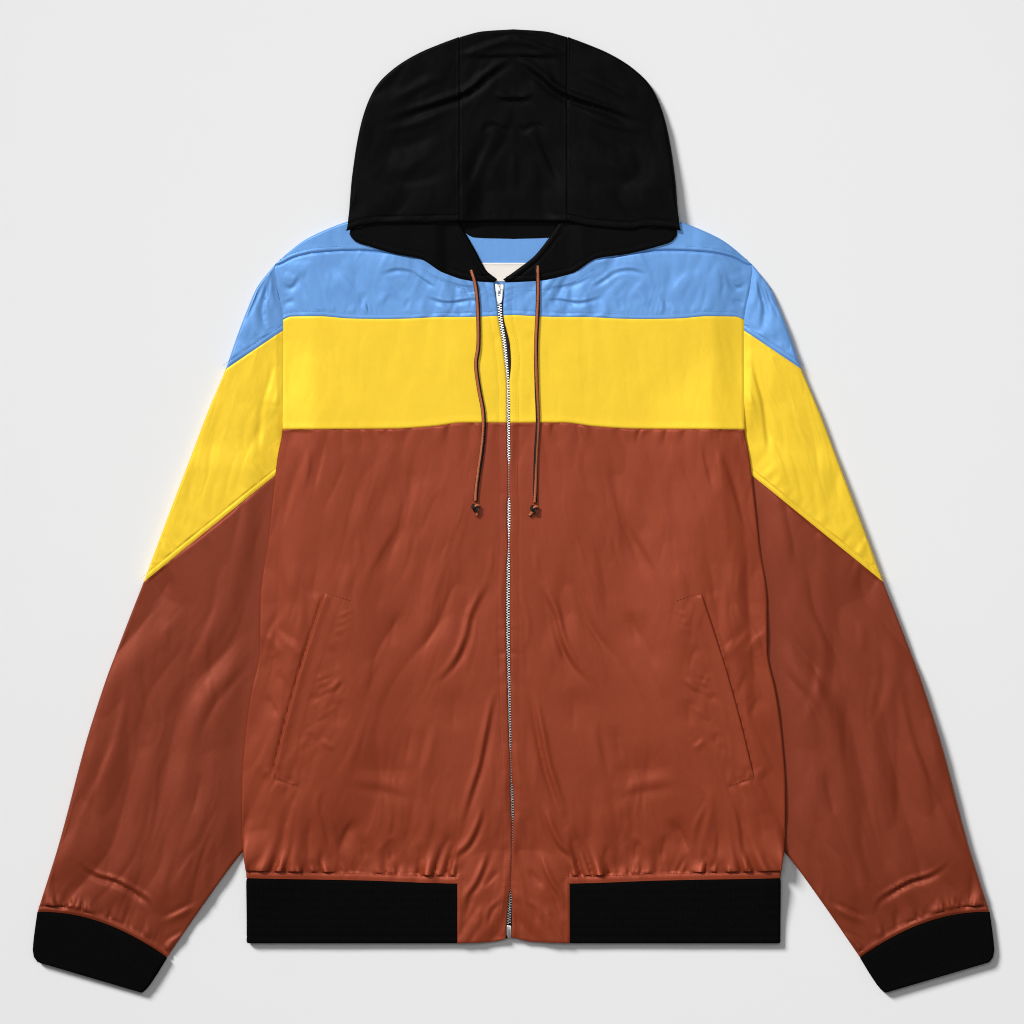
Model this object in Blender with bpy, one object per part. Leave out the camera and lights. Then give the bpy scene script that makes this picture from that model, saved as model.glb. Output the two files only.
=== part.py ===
# Windbreaker jacket laid flat on its back, zipped up, with the crown of its hood folded forward.
# Left and right are the wearer's: the wearer's right lies at -X. +Y runs from hem to hood, +Z up out of the cloth.
# Sizes and tables are in millimetres and the model is in metres. "across" is the distance from the centre line,
# "up" is Y, and the origin is on the surface below the middle of the jacket.

import math

import bpy
import numpy as np

MM = 0.001
SIDES = {"right": -1, "left": 1}

# Cloth
SHELL_WALL = 1.5  # nylon shell with its lining
RIB_WALL = 2.5  # doubled knit
LABEL_WALL = 0.8
TAPE_WALL = 0.8
WELT_WALL = 1.2
SEAM_GAP = 0.4  # between the edges of two panels that are sewn together
SLEEVE_TRIM = 0.45  # each side of a sleeve's own seams, whose folds lean
CLOTH_GAP = 0.3  # between two cloths that lie on each other
FRONT_LOFT = 3.0  # the front's stand off the back, away from the side seams
SLEEVE_LOFT = 2.2
RIB_LOFT = 0.6
LOFT_RUN = 35.0  # from a side seam to full loft

# The sleeves lie tucked under the sides of the body, which rides over them
TUCK_RISE = 6.0
TUCK_MARGIN = 12.0  # full rise this far past the tucked edge
TUCK_RUN = 70.0  # and from there down to the surface
TUCK_TOP_UP = 54.0  # where the tucked edge leaves the armhole
TUCKED_ROWS = 8  # rows of SLEEVE_LOWER whose underarm seam is tucked
TUCK_END = (262.0, -327.0)  # where the tucked edge comes out again

# Hood, in layers over the back
FLAP_LOW, FLAP_NECK, FLAP_SHOULDER = 3.9, 5.55, 7.6
CROWN_LOW, CROWN_MIDDLE, CROWN_EDGE = 5.9, 6.4, 10.1
CENTRE_STRIP = 52.2  # half its width
NECK_SEAM_GAP = 0.9  # between the hood's back and the back yoke, whose fold at the shoulder is rounded
NECK_MIDDLE = -5.0  # X of the neck's middle: the neck lies a little to the wearer's right
OVER_FRONT_UP, OVER_FRONT_RUN = 300.0, 60.0  # the hood lies over the jacket up to here, then comes down
SHOULDER_FROM, SHOULDER_RUN = 58.0, 14.0  # the flaps climb onto the shoulder here, from the neck's middle
CROWN_RISE_FROM, CROWN_RISE_RUN = 28.0, 24.0  # the crown climbs over the flaps here

# Zip
ZIP_TOP, ZIP_BOTTOM = 221.5, -414.5
TAPE_WIDTH = 13.0
TAPE_MIDDLE = 3.6
TAPE_GAP = 1.0  # from either end of the tapes to the slider and to the box
BOX_LENGTH, BOX_WIDTH, BOX_LEVELS = 12.0, 4.2, (2.9, 5.9)
SLIDER_HALF_TOP, SLIDER_HALF_END = 4.5, 3.2
SLIDER_LENGTH = 12.0
PLATE = 1.2
UPPER_PLATE = 4.4  # underside of the slider's upper plate
LOWER_PLATE = 1.8  # underside of its lower plate
SLIDER_NECK = 2.5  # length of the neck between the plates
BRIDGE_WIDTH, BRIDGE_LENGTH, BRIDGE_POST = 2.0, 8.2, 1.2
BRIDGE_SET = 2.0  # from the slider's top end
BRIDGE_SINK = 0.4  # of its feet into the upper plate
BRIDGE_CORNER = 0.7  # cut off its two top corners
BRIDGE_ROOM = 2.1  # under the bridge, where the pull's crossbar turns
PULL_LENGTH, PULL_WIDTH, PULL_WALL = 13.2, 6.4, 1.2
PULL_BAR = 1.4
PULL_SLOT_LENGTH, PULL_SLOT_WIDTH = 4.6, 3.0
PULL_END_SHARE = 0.72  # the foot's width, of the tab's
SLOT_END_SHARE, SLOT_END_RUN = 0.6, 1.0  # the slot's narrowed foot

HEM_UP = -420.0
HEM_SEAM_UP = -360.0  # about where the shell meets the hem rib
TAB_HALF = 54.7  # of the shell tab between the two ends of the hem rib
CORD = 4.2
KNOT = (9.4, 9.8, 6.6)

# Node counts
COLUMN_SHARES = (0.0, 0.1, 0.22, 0.35, 0.48, 0.6, 0.7)
FOLD_STEPS = 4
LOWER_ROWS = 11
YOKE_ROWS = BAND_ROWS = 4
TAB_ROWS = 3
RIB_ROWS = 3
SHOULDER_STRIP_ROWS = 2
SLEEVE_STEPS = 5
CENTRE_STEPS = 7
HOOD_STEPS = 5
BEHIND_STEPS = 2  # of the hood's steps, between the back neck and the place behind
FLAP_STEPS = 4
TAPE_ROWS = 24


def table(columns, *rows):
    """Rows of numbers, as one array for each named column."""
    return dict(zip(columns.split(), np.array(rows, float).T))


# Side edge of the body: armhole seam to the underarm, then the side seam to the hem
SIDE_EDGE = table(
    "up across",
    (-420.0, 260.0),
    (-356.0, 259.6),
    (-320.0, 263.6),
    (-271.0, 264.2),
    (-206.0, 259.4),
    (-172.0, 254.0),
    (-134.0, 246.5),
    (-89.0, 246.5),
    (-37.0, 239.6),
    (26.0, 232.5),
    (54.0, 229.0),
    (79.0, 224.6),
    (110.0, 224.0),
    (186.0, 224.2),
    (206.0, 227.4),
    (225.0, 231.8),
    (234.5, 233.4),
    (238.5, 232.6),
    (243.6, 228.6),
)
HEM_TOP = table("across up", (0.0, -362.0), (55.0, -361.8), (140.0, -359.0), (260.0, -356.3))
BAND_LINE = table("across up", (0.0, 86.0), (48.0, 86.2), (80.0, 82.5), (115.0, 80.4), (225.0, 79.4))
YOKE_LINE = table("across up", (0.0, 190.5), (42.0, 188.7), (104.0, 187.2), (225.0, 186.2))
TAB_BOTTOM = table("across up", (0.0, -414.6), (20.0, -418.8), (55.0, -420.0))
BACK_NECK = table("across up", (0.0, 265.0), (38.0, 266.4), (58.0, 280.0), (91.0, 299.5))
SHOULDER_FOLD = table(
    "across up",
    (81.0, 301.5),
    (91.0, 299.5),
    (164.0, 281.0),
    (188.0, 271.5),
    (203.4, 263.7),
    (215.6, 254.8),
    (228.6, 243.6),
)
SHOULDER_SEAM = table(
    "across up", (81.0, 244.6), (112.0, 250.4), (150.0, 253.6), (190.0, 251.6), (212.0, 247.2), (228.6, 239.6)
)
SHOULDER_NODES = (228.6, 212.0, 190.0, 163.0, 135.0, 112.0)

# The closed zip wanders a little: its X is signed
ZIP_LINE = table(
    "up x",
    (-420.0, -4.8),
    (-367.0, -2.8),
    (-300.0, -1.0),
    (-220.0, -3.4),
    (-100.0, -5.2),
    (0.0, -4.4),
    (113.0, -4.9),
    (161.0, -8.3),
    (190.0, -12.4),
    (222.0, -14.0),
)
ZIP_OPENING = table(
    "up half", (-420.0, 2.9), (-398.0, 2.9), (-388.0, 2.2), (193.0, 2.2), (199.0, 4.0), (208.0, 5.0), (222.0, 5.2)
)

# Sleeve sections, from the shoulder point to the cuff: the outer fold, then the armhole or the underarm seam.
# inner_across is 0 where a section ends on the armhole, which is the body's side edge.
SLEEVE_CAP = table(
    "outer_across outer_up inner_across inner_up",
    (236.6, 235.2, 0.0, 233.0),
    (249.8, 217.3, 0.0, 216.0),
    (258.8, 196.5, 0.0, 201.0),
    (268.4, 171.6, 0.0, 186.4),
    (280.0, 138.0, 0.0, 176.0),
)
SLEEVE_BAND = table(
    "outer_across outer_up inner_across inner_up",
    (280.0, 138.0, 0.0, 176.0),
    (297.0, 97.5, 0.0, 143.0),
    (315.0, 50.0, 0.0, 110.0),
    (331.0, 8.0, 0.0, 79.0),
    (346.0, -32.0, 0.0, 54.0),
    (359.7, -69.0, 224.0, 36.0),
)
SLEEVE_LOWER = table(
    "outer_across outer_up inner_across inner_up",
    (359.7, -69.0, 224.0, 36.0),
    (372.0, -100.0, 204.0, 5.0),
    (384.0, -131.0, 186.0, -45.0),
    (395.0, -160.0, 175.0, -100.0),
    (405.0, -190.0, 173.0, -155.0),
    (415.0, -222.0, 182.0, -210.0),
    (424.0, -255.0, 210.0, -262.0),
    (433.0, -290.0, 243.0, -306.0),
    (444.0, -330.0, 273.0, -343.0),
    (453.5, -360.0, 304.0, -386.0),
    (463.0, -389.5, 337.0, -434.0),
)
CUFF = table(
    "outer_across outer_up inner_across inner_up",
    (463.4, -390.0, 337.2, -434.6),
    (466.3, -412.0, 346.5, -450.0),
    (467.6, -430.0, 355.0, -462.5),
    (463.2, -438.2, 361.0, -468.3),
)

# Crown of the hood and the hood's back behind it, from the apex round to the corner at the shoulder.
# Each row is the panel seam on the crown, the outline fold, and a place the layer behind passes through on its
# way to the centre seam. The last three rows end on the back neck instead: at the seam, halfway, at the shoulder.
HOOD_SIDE = table(
    "crown_up outline_across outline_up behind_across behind_up back_up",
    (448.0, 59.5, 459.0, 56.0, 452.0, 448.0),
    (420.0, 91.0, 446.3, 70.0, 431.0, 420.0),
    (388.0, 117.0, 430.2, 80.0, 406.0, 388.0),
    (356.0, 134.5, 412.0, 86.0, 379.0, 356.0),
    (330.0, 146.0, 385.5, 86.0, 344.0, 320.0),
    (310.0, 152.5, 357.0, 57.0, 312.0, 0.0),
    (297.0, 157.0, 326.0, 64.0, 308.0, 0.0),
    (288.0, 160.4, 297.0, 96.0, 312.0, 0.0),
)
CROWN_CORNER = (281.3, 162.6, 272.5)  # the crown's last row, which has no layer behind it over the shoulder
APEX = table("across up", (0.0, 468.9), (30.0, 466.9), (52.2, 461.3))
CROWN_FRONT = table("across up", (0.0, 281.8), (52.2, 281.4))

# Front of the hood: from the zip top along the neck seam, over the shoulder, then under the crown.
# Each row is the edge of the face opening and the edge that meets the neck or the hood's fold, each with its lean.
HOOD_FRONT = table(
    "face_across face_up face_lean edge_across edge_up edge_lean",
    (3.0, 225.6, -12.8, 5.2, 222.6, -12.8),
    (14.7, 234.5, -12.0, 33.0, 223.9, -8.5),
    (27.0, 248.0, -7.0, 62.0, 231.3, -5.0),
    (38.0, 264.0, -4.9, 86.0, 245.5, -5.0),
    (45.0, 275.0, -4.4, 112.0, 249.8, -2.5),
    (50.0, 284.0, -4.0, 137.0, 256.3, 0.0),
    (54.0, 292.0, -3.0, 155.0, 263.2, 0.0),
    (58.0, 300.0, -2.0, 159.0, 271.0, 0.0),
    (60.0, 312.0, 0.0, 152.0, 290.0, 0.0),
    (64.0, 335.0, 0.0, 149.0, 318.0, 0.0),
    (68.0, 362.0, 0.0, 143.0, 350.0, 0.0),
    (70.0, 388.0, 0.0, 132.0, 380.0, 0.0),
)
NECK_ROWS = (3, 2, 1)  # rows of HOOD_FRONT that the front yoke's neck edge shares
NECK_END_UP = 222.2  # where that edge meets the zip

# Largest soft folds of the fronts: start, end, full width and height
FRONT_FOLDS = table(
    "from_across from_up to_across to_up width height",
    (36.0, -100.0, 62.0, -320.0, 60.0, 1.2),
    (115.0, -90.0, 150.0, -205.0, 70.0, -0.9),
    (150.0, -265.0, 100.0, -330.0, 60.0, 0.9),
    (232.0, -140.0, 205.0, -40.0, 60.0, 0.8),
)
SLEEVE_FOLDS = table(
    "from_across from_up to_across to_up width height",
    (285.0, -90.0, 270.0, -200.0, 60.0, 0.7),
    (372.0, -120.0, 395.0, -260.0, 50.0, 0.7),
    (330.0, -180.0, 350.0, -320.0, 60.0, -0.6),
)

# Slanted welt: opening line on the outside, then the welt's width towards the zip
WELT = table("across up inner_across inner_up", (182.0, -82.0, 155.5, -87.5), (233.0, -258.0, 207.5, -270.5))
WELT_ROWS = 6
LABEL = {"x": (-33.0, 23.0), "up": (223.5, 242.0)}

# Drawcords from the hood's edge to their knots, each on a smooth curve through these places
CORDS = {
    "right": table(
        "x up",
        (-40.9, 234.5),
        (-36.6, 219.0),
        (-34.4, 195.0),
        (-34.0, 162.0),
        (-36.3, 143.0),
        (-33.6, 120.0),
        (-29.3, 96.0),
        (-29.2, 76.0),
        (-31.0, 57.0),
        (-34.0, 37.0),
        (-36.2, 20.0),
        (-36.7, 10.0),
    ),
    "left": table(
        "x up",
        (23.2, 238.5),
        (23.8, 215.0),
        (23.3, 191.0),
        (22.0, 161.0),
        (22.4, 125.0),
        (23.7, 88.0),
        (22.6, 68.0),
        (21.6, 48.0),
        (21.2, 27.0),
        (20.8, 8.5),
    ),
}
KNOTS = {"right": (-36.4, 3.4), "left": (20.5, 2.0)}

COLOURS = {
    "shell_blue": (0.149, 0.356, 0.738),
    "shell_yellow": (0.991, 0.672, 0.040),
    "shell_brown": (0.266, 0.053, 0.024),
    "shell_black": (0.006, 0.006, 0.006),
    "rib_black": (0.004, 0.004, 0.004),
    "label_cream": (0.87, 0.80, 0.74),
    "zip_metal": (0.80, 0.80, 0.80),
    "zip_tape": (0.20, 0.05, 0.03),
    "cord_copper": (0.30, 0.09, 0.04),
}


# Curves


def slopes(at, value):
    """Slopes of a smooth curve that never overshoots its rows."""
    secants = np.diff(value) / np.diff(at)
    inner = [0.0 if a * b <= 0 else 2 * a * b / (a + b) for a, b in zip(secants, secants[1:])]
    return [secants[0], *inner, secants[-1]]


def read(rows, key, column, place):
    """The column's value where the key column reaches the place."""
    at, value = rows[key], rows[column]
    place = min(max(place, at[0]), at[-1])
    i = min(int(np.searchsorted(at, place, side="right")) - 1, len(at) - 2)
    run = at[i + 1] - at[i]
    t = (place - at[i]) / run
    start, end = slopes(at, value)[i : i + 2]
    return float(
        (1 + 2 * t) * (1 - t) ** 2 * value[i]
        + t * (1 - t) ** 2 * run * start
        + t * t * (3 - 2 * t) * value[i + 1]
        - t * t * (1 - t) * run * end
    )


def ease(share):
    """0 to 1 with no corner at either end."""
    share = min(max(share, 0.0), 1.0)
    return share * share * (3 - 2 * share)


def lerp(a, b, share):
    return a + (b - a) * share


def distance_to_run(x, y, start, end):
    """Distance from a point to a straight run in plan, and the share of the run that is nearest."""
    dx, dy = end[0] - start[0], end[1] - start[1]
    share = ((x - start[0]) * dx + (y - start[1]) * dy) / (dx * dx + dy * dy)
    share = min(max(share, 0.0), 1.0)
    return math.hypot(x - start[0] - dx * share, y - start[1] - dy * share), share


# Heights of the cloths


def tucked_edge():
    """The underarm edge of the sleeve, where it lies hidden under the body."""
    points = [(read(SIDE_EDGE, "up", "across", TUCK_TOP_UP), TUCK_TOP_UP)]
    points += list(zip(SLEEVE_LOWER["inner_across"], SLEEVE_LOWER["inner_up"]))[:TUCKED_ROWS]
    return [*points, TUCK_END]


TUCKED_EDGE = tucked_edge()


def over_sleeve(across, up):
    """True where the body lies on a tucked sleeve."""
    ups = [point[1] for point in TUCKED_EDGE][::-1]
    acrosses = [point[0] for point in TUCKED_EDGE][::-1]
    return ups[0] <= up <= ups[-1] and across >= np.interp(up, ups, acrosses)


def rise(x, up):
    """How far the sleeve below lifts the body."""
    across = abs(x)
    if over_sleeve(across, up):
        return TUCK_RISE
    gap = min(distance_to_run(across, up, a, b)[0] for a, b in zip(TUCKED_EDGE, TUCKED_EDGE[1:]))
    return TUCK_RISE * (1 - ease((gap - TUCK_MARGIN) / TUCK_RUN))


def folds(rows, x, up):
    """Height of the large soft folds at this place."""
    total = 0.0
    for i, height in enumerate(rows["height"]):
        start = (rows["from_across"][i], rows["from_up"][i])
        end = (rows["to_across"][i], rows["to_up"][i])
        off, share = distance_to_run(abs(x), up, start, end)
        total += height * (1 - ease(2 * off / rows["width"][i])) * math.sin(math.pi * lerp(0.15, 0.85, share))
    return total


def back_height(x, up):
    return SHELL_WALL / 2 + rise(x, up)


def front_height(x, up):
    inside = read(SIDE_EDGE, "up", "across", up) - abs(x)
    loft = (FRONT_LOFT + folds(FRONT_FOLDS, x, up)) * ease(inside / LOFT_RUN)
    return back_height(x, up) + SHELL_WALL + CLOTH_GAP + loft


def sleeve_back_height(x, up):
    return SHELL_WALL / 2


def rib_back_height(x, up):
    return RIB_WALL / 2 + rise(x, up)


def rib_front_height(x, up):
    return rib_back_height(x, up) + RIB_WALL + RIB_LOFT


def over_front(up):
    """1 where the hood lies over the jacket's neck and shoulders, 0 above them."""
    return 1 - ease((up - OVER_FRONT_UP) / OVER_FRONT_RUN)


def flap_height(x, up):
    """The hood's front: level with the front yoke at the neck seam, and over the shoulder beyond it."""
    shoulder = (FLAP_SHOULDER - FLAP_NECK) * ease((abs(x - NECK_MIDDLE) - SHOULDER_FROM) / SHOULDER_RUN)
    return FLAP_LOW + over_front(up) * (FLAP_NECK - FLAP_LOW + shoulder)


def crown_height(x, up):
    outward = ease((abs(x) - CROWN_RISE_FROM) / CROWN_RISE_RUN)
    return CROWN_LOW + outward * lerp(CROWN_MIDDLE - CROWN_LOW, CROWN_EDGE - CROWN_LOW, over_front(up))


def hood_back_height(x, up):
    return SHELL_WALL / 2


# Walls


def grid_of(columns, closed=False):
    """Points and four-sided faces of a grid. A None in a column leaves a hole there."""
    number, points = {}, []
    for i, column in enumerate(columns):
        for j, point in enumerate(column):
            if point is not None:
                number[i, j] = len(points)
                points.append(point)
    faces = []
    length = max(len(column) for column in columns)
    for i in range(len(columns) - (not closed)):
        after = (i + 1) % len(columns)
        for j in range(length - 1):
            corners = [(i, j), (after, j), (after, j + 1), (i, j + 1)]
            if all(corner in number for corner in corners):
                faces.append([number[corner] for corner in corners])
    return points, faces


def thickened(points, faces, wall):
    """The closed wall of a sheet: both of its surfaces, half a wall either side, and its rims."""
    points = np.array(points, float)
    normals = np.zeros_like(points)
    for face in faces:
        a, b, c, d = points[face]
        normals[face] += np.cross(c - a, d - b)
    normals /= np.linalg.norm(normals, axis=1)[:, None]
    count = len(points)
    out = np.concatenate([points + normals * wall / 2, points - normals * wall / 2])
    walls = [list(face) for face in faces] + [[i + count for i in face[::-1]] for face in faces]
    edges = {(face[i - 1], face[i]) for face in faces for i in range(4)}
    for a, b in sorted(edges):
        if (b, a) not in edges:
            walls.append([b, a, a + count, b + count])
    return out, walls


def volume_of(points, faces):
    total = 0.0
    for face in faces:
        for i in range(1, len(face) - 1):
            total += np.dot(points[face[0]], np.cross(points[face[i]], points[face[i + 1]]))
    return total / 6


def material_of(name, metallic=0.0, roughness=0.6):
    if name in bpy.data.materials:
        return bpy.data.materials[name]
    made = bpy.data.materials.new(name)
    made.use_nodes = True
    shader = made.node_tree.nodes["Principled BSDF"]
    shader.inputs["Base Color"].default_value = (*COLOURS[name], 1)
    shader.inputs["Roughness"].default_value = roughness
    shader.inputs["Metallic"].default_value = metallic
    made.diffuse_color = (*COLOURS[name], 1)
    return made


def solid(name, points, faces, material, origin=(0, 0, 0), **finish):
    """One closed object, from points in millimetres about its origin."""
    points = np.array(points, float)
    if volume_of(points, faces) < 0:
        faces = [face[::-1] for face in faces]
    mesh = bpy.data.meshes.new(name)
    mesh.from_pydata((points * MM).tolist(), [], faces)
    mesh.shade_smooth()
    mesh.set_sharp_from_angle(angle=math.radians(40))
    mesh.materials.append(material_of(material, **finish))
    made = bpy.data.objects.new(name, mesh)
    made.location = [value * MM for value in origin]
    bpy.context.scene.collection.objects.link(made)
    return made


def sheet(name, columns, wall, material, closed=False):
    points, faces = grid_of(columns, closed)
    return solid(name, *thickened(points, faces, wall), material)


# Body panels


def column_shares(side):
    """Shares of the way from side seam to zip. One falls on the edge of the hem tab."""
    seam = read(SIDE_EDGE, "up", "across", HEM_SEAM_UP)
    tab = (seam - TAB_HALF) / (seam - side * front_edge(side, HEM_SEAM_UP))
    return (*COLUMN_SHARES, tab, (tab + 1) / 2, 1.0)


def front_edge(side, up):
    """X of a front's edge beside the zip."""
    return read(ZIP_LINE, "up", "x", up) + side * read(ZIP_OPENING, "up", "half", up)


def side_edge(side, up):
    return side * (read(SIDE_EDGE, "up", "across", up) - SEAM_GAP / 2)


def panel_point(side, share, height_share, low, high):
    """Plan place in a body panel between its low and high seam lines."""
    up = 0.0
    for _ in range(5):
        x = lerp(side_edge(side, up), front_edge(side, up), share)
        bottom = read(low, "across", "up", abs(x)) + SEAM_GAP / 2
        top = read(high, "across", "up", abs(x)) - SEAM_GAP / 2
        up = lerp(bottom, top, height_share)
    return x, up


def panel_columns(side, low, high, rows, height):
    columns = []
    for share in column_shares(side):
        plan = [panel_point(side, share, row / rows, low, high) for row in range(rows + 1)]
        columns.append([(x, up, height(x, up)) for x, up in plan])
    return columns


def top_nodes(side):
    """Plan nodes along a front yoke's top: the shoulder seam, then the neck edge to the zip."""
    nodes = [(side * across, read(SHOULDER_SEAM, "across", "up", across)) for across in SHOULDER_NODES]
    for row in NECK_ROWS:
        nodes.append(hood_front_point("edge", row, side))
    nodes.append((front_edge(side, NECK_END_UP), NECK_END_UP))
    return [(x, up - SEAM_GAP / 2) for x, up in nodes]


def yoke_columns(side):
    """A front yoke, from its lower seam to the shoulder seam and the neck."""
    columns = []
    for share, top in zip(column_shares(side), top_nodes(side)):
        x0, up0 = panel_point(side, share, 0, YOKE_LINE, BACK_NECK)
        column = []
        for row in range(YOKE_ROWS + 1):
            x, up = lerp(x0, top[0], row / YOKE_ROWS), lerp(up0, top[1], row / YOKE_ROWS)
            if share == 0:
                x = side_edge(side, up)
            if share == 1:
                x = front_edge(side, up)
            column.append((x, up, front_height(x, up)))
        columns.append(column)
    return columns


def fold_points(outer, inward_front, inward_back, front, back):
    """A rounded fold at an outer edge, from the front layer round to the back one, and its radius."""
    radius = 2.0
    for _ in range(4):
        x, up = outer[0] + inward_front[0] * radius, outer[1] + inward_front[1] * radius
        high, low = front(x, up), back(x, up)
        radius = (high - low) / 2
    points = []
    for step in range(FOLD_STEPS + 1):
        angle = math.pi * step / FOLD_STEPS
        inward = inward_front if 2 * step <= FOLD_STEPS else inward_back
        off = radius * (1 - math.sin(angle))
        z = (high + low) / 2 + radius * math.cos(angle)
        points.append((outer[0] + inward[0] * off, outer[1] + inward[1] * off, z))
    return points


def unit(start, end):
    length = math.hypot(end[0] - start[0], end[1] - start[1])
    return (end[0] - start[0]) / length, (end[1] - start[1]) / length


def layer(start, end, steps, height):
    """Points of a layer from one plan place to just before another."""
    points = []
    for step in range(steps):
        x, up = lerp(start[0], end[0], step / steps), lerp(start[1], end[1], step / steps)
        points.append((x, up, height(x, up)))
    return points


def folded(front_inner, outer, back_inner, front, back, steps, through=None):
    """One section of folded cloth: front layer, rounded fold, back layer, which may pass through a place."""
    bend = fold_points(outer, unit(outer, front_inner), unit(outer, through or back_inner), front, back)
    if through:
        behind = layer(back_inner, through, BEHIND_STEPS, back)
        behind += layer(through, bend[-1], steps - BEHIND_STEPS, back)
    else:
        behind = layer(back_inner, bend[-1], steps, back)
    return layer(front_inner, bend[0], steps, front) + bend + behind[::-1]


def back_yoke():
    """Back layer up to the neck and the shoulder folds, then over the shoulders to the forward seams."""
    columns = []
    for side in SIDES.values():
        half = []
        for k, (share, top) in enumerate(zip(column_shares(side), top_nodes(side))):
            x0, up0 = panel_point(side, share, 0, YOKE_LINE, BACK_NECK)
            across = abs(top[0])
            if k > len(SHOULDER_NODES):
                end = (top[0], read(BACK_NECK, "across", "up", across))
                half.append(layer((x0, up0), end, YOKE_ROWS, back_height) + [(*end, back_height(*end))])
                continue
            fold = (top[0], read(SHOULDER_FOLD, "across", "up", across))
            bend = fold_points(fold, (0, -1), (0, -1), front_height, back_height)[::-1]
            column = layer((x0, up0), bend[0], YOKE_ROWS, back_height) + bend
            seam = (top[0], top[1] + SEAM_GAP)
            column += layer(seam, bend[-1], SHOULDER_STRIP_ROWS, front_height)[::-1]
            if share == 0:
                column = [(side_edge(side, y), y, z) for x, y, z in column]
            half.append(column)
        columns += half if side < 0 else half[-2::-1]
    sheet("back_yoke", columns, SHELL_WALL, "shell_blue")


def back_panel(name, low, high, rows, material):
    columns = []
    for side in SIDES.values():
        half = panel_columns(side, low, high, rows, back_height)
        columns += half if side < 0 else half[-2::-1]
    sheet(name, columns, SHELL_WALL, material)


def front_lower_columns(side):
    """The lower front, with its half of the tab that runs down between the ends of the hem rib."""
    columns = panel_columns(side, HEM_TOP, BAND_LINE, LOWER_ROWS, front_height)
    beside_tab = len(COLUMN_SHARES)
    for k, column in enumerate(columns):
        tab = [None] * TAB_ROWS
        if k >= beside_tab:
            across_tab = (k - beside_tab) / (len(columns) - 1 - beside_tab)
            foot = read(TAB_BOTTOM, "across", "up", abs(column[0][0]))
            for row in range(TAB_ROWS):
                up = lerp(foot, column[0][1], row / TAB_ROWS)
                x = lerp(side * (TAB_HALF - SEAM_GAP / 2), front_edge(side, up), across_tab)
                tab[row] = (x, up, front_height(x, up))
        columns[k] = tab + column
    return columns


def hem_rib():
    """The rib from one edge of the tab, round both sides and across the back, to the other edge."""
    columns = []
    for side in SIDES.values():
        seam, zip_edge = side_edge(side, HEM_SEAM_UP), front_edge(side, HEM_SEAM_UP)
        inner = [lerp(seam, zip_edge, share) for share in COLUMN_SHARES[1:]]
        inner.append(side * (TAB_HALF + SEAM_GAP / 2))
        half = []
        for x in inner[::-1]:
            half.append([(x, up, rib_front_height(x, up)) for up in hem_ups(x)])
        folds_at = [
            fold_points((side * read(SIDE_EDGE, "up", "across", up), up), (-side, 0), (-side, 0),
                        rib_front_height, rib_back_height)
            for up in hem_ups(seam)
        ]
        for step in range(FOLD_STEPS + 1):
            half.append([bend[step] for bend in folds_at])
        for x in (*inner, side * TAB_HALF / 2):
            half.append([(x, up, rib_back_height(x, up)) for up in hem_ups(x)])
        columns += half if side < 0 else half[::-1]
    sheet("hem_rib", columns, RIB_WALL, "rib_black")


def hem_ups(x):
    top = read(HEM_TOP, "across", "up", abs(x)) - SEAM_GAP / 2
    return [lerp(HEM_UP, top, row / RIB_ROWS) for row in range(RIB_ROWS + 1)]


# Sleeves and cuffs


def inner_places(rows):
    """Across and up of each section's inner end."""
    places = []
    for across, up in zip(rows["inner_across"], rows["inner_up"]):
        places.append((across or read(SIDE_EDGE, "up", "across", up), up))
    return places


def sleeve_front_height(rows):
    """Height of a sleeve's front layer: low at the underarm seam, then lofted."""
    places = inner_places(rows)

    def height(x, up):
        inside = min(distance_to_run(abs(x), up, a, b)[0] for a, b in zip(places, places[1:]))
        loft = (SLEEVE_LOFT + folds(SLEEVE_FOLDS, x, up)) * ease(inside / LOFT_RUN)
        return SHELL_WALL * 1.5 + CLOTH_GAP + loft

    return height


def shifted(point, towards):
    """A seam's end drawn back into its own piece."""
    along = unit(point, towards)
    return point[0] + along[0] * SLEEVE_TRIM, point[1] + along[1] * SLEEVE_TRIM


def sections(rows, side):
    """Outer and inner plan places of each section, held half a gap off both end seams and the armhole."""
    places = []
    for outer_across, outer_up, (inner_across, inner_up) in zip(
        rows["outer_across"], rows["outer_up"], inner_places(rows)
    ):
        places.append(((side * outer_across, outer_up), (side * (inner_across + SEAM_GAP / 2), inner_up)))
    last = len(places) - 1
    ends = {
        0: (shifted(places[0][0], places[1][0]), shifted(places[0][1], places[1][1])),
        last: (shifted(places[last][0], places[last - 1][0]), shifted(places[last][1], places[last - 1][1])),
    }
    return [ends.get(i, place) for i, place in enumerate(places)]


def sleeve_piece(name, rows, side, material):
    height = sleeve_front_height(rows)
    columns = [
        folded(inner, outer, inner, height, sleeve_back_height, SLEEVE_STEPS)
        for outer, inner in sections(rows, side)
    ]
    sheet(name, columns, SHELL_WALL, material)


def cuff(name, side):
    """A flattened tube: front layer, outer fold, back layer, inner fold."""
    low = RIB_WALL / 2
    high = low + RIB_WALL + RIB_LOFT
    rows = list(zip(*CUFF.values()))
    rings = []
    for outer_across, outer_up, inner_across, inner_up in rows:
        outer, inner = (side * outer_across, outer_up), (side * inner_across, inner_up)
        across, back = unit(outer, inner), unit(inner, outer)
        ring = []
        for corner, inward in ((outer, across), (inner, back)):
            bend = fold_points(corner, inward, inward, lambda x, up: high, lambda x, up: low)
            bend = bend if corner is outer else bend[::-1]
            following = inner if corner is outer else outer
            start, z = bend[-1], bend[-1][2]
            ring += bend
            for step in (1, 2, 3):
                share = step / 4
                ring.append((lerp(start[0], following[0], share), lerp(start[1], following[1], share), z))
        rings.append(ring)
    columns = [list(column) for column in zip(*rings)]
    sheet(name, columns, RIB_WALL, "rib_black", closed=True)


# Hood


def hood_front_point(edge, row, side):
    rows = HOOD_FRONT
    return side * rows[edge + "_across"][row] + rows[edge + "_lean"][row], float(rows[edge + "_up"][row])


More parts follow.
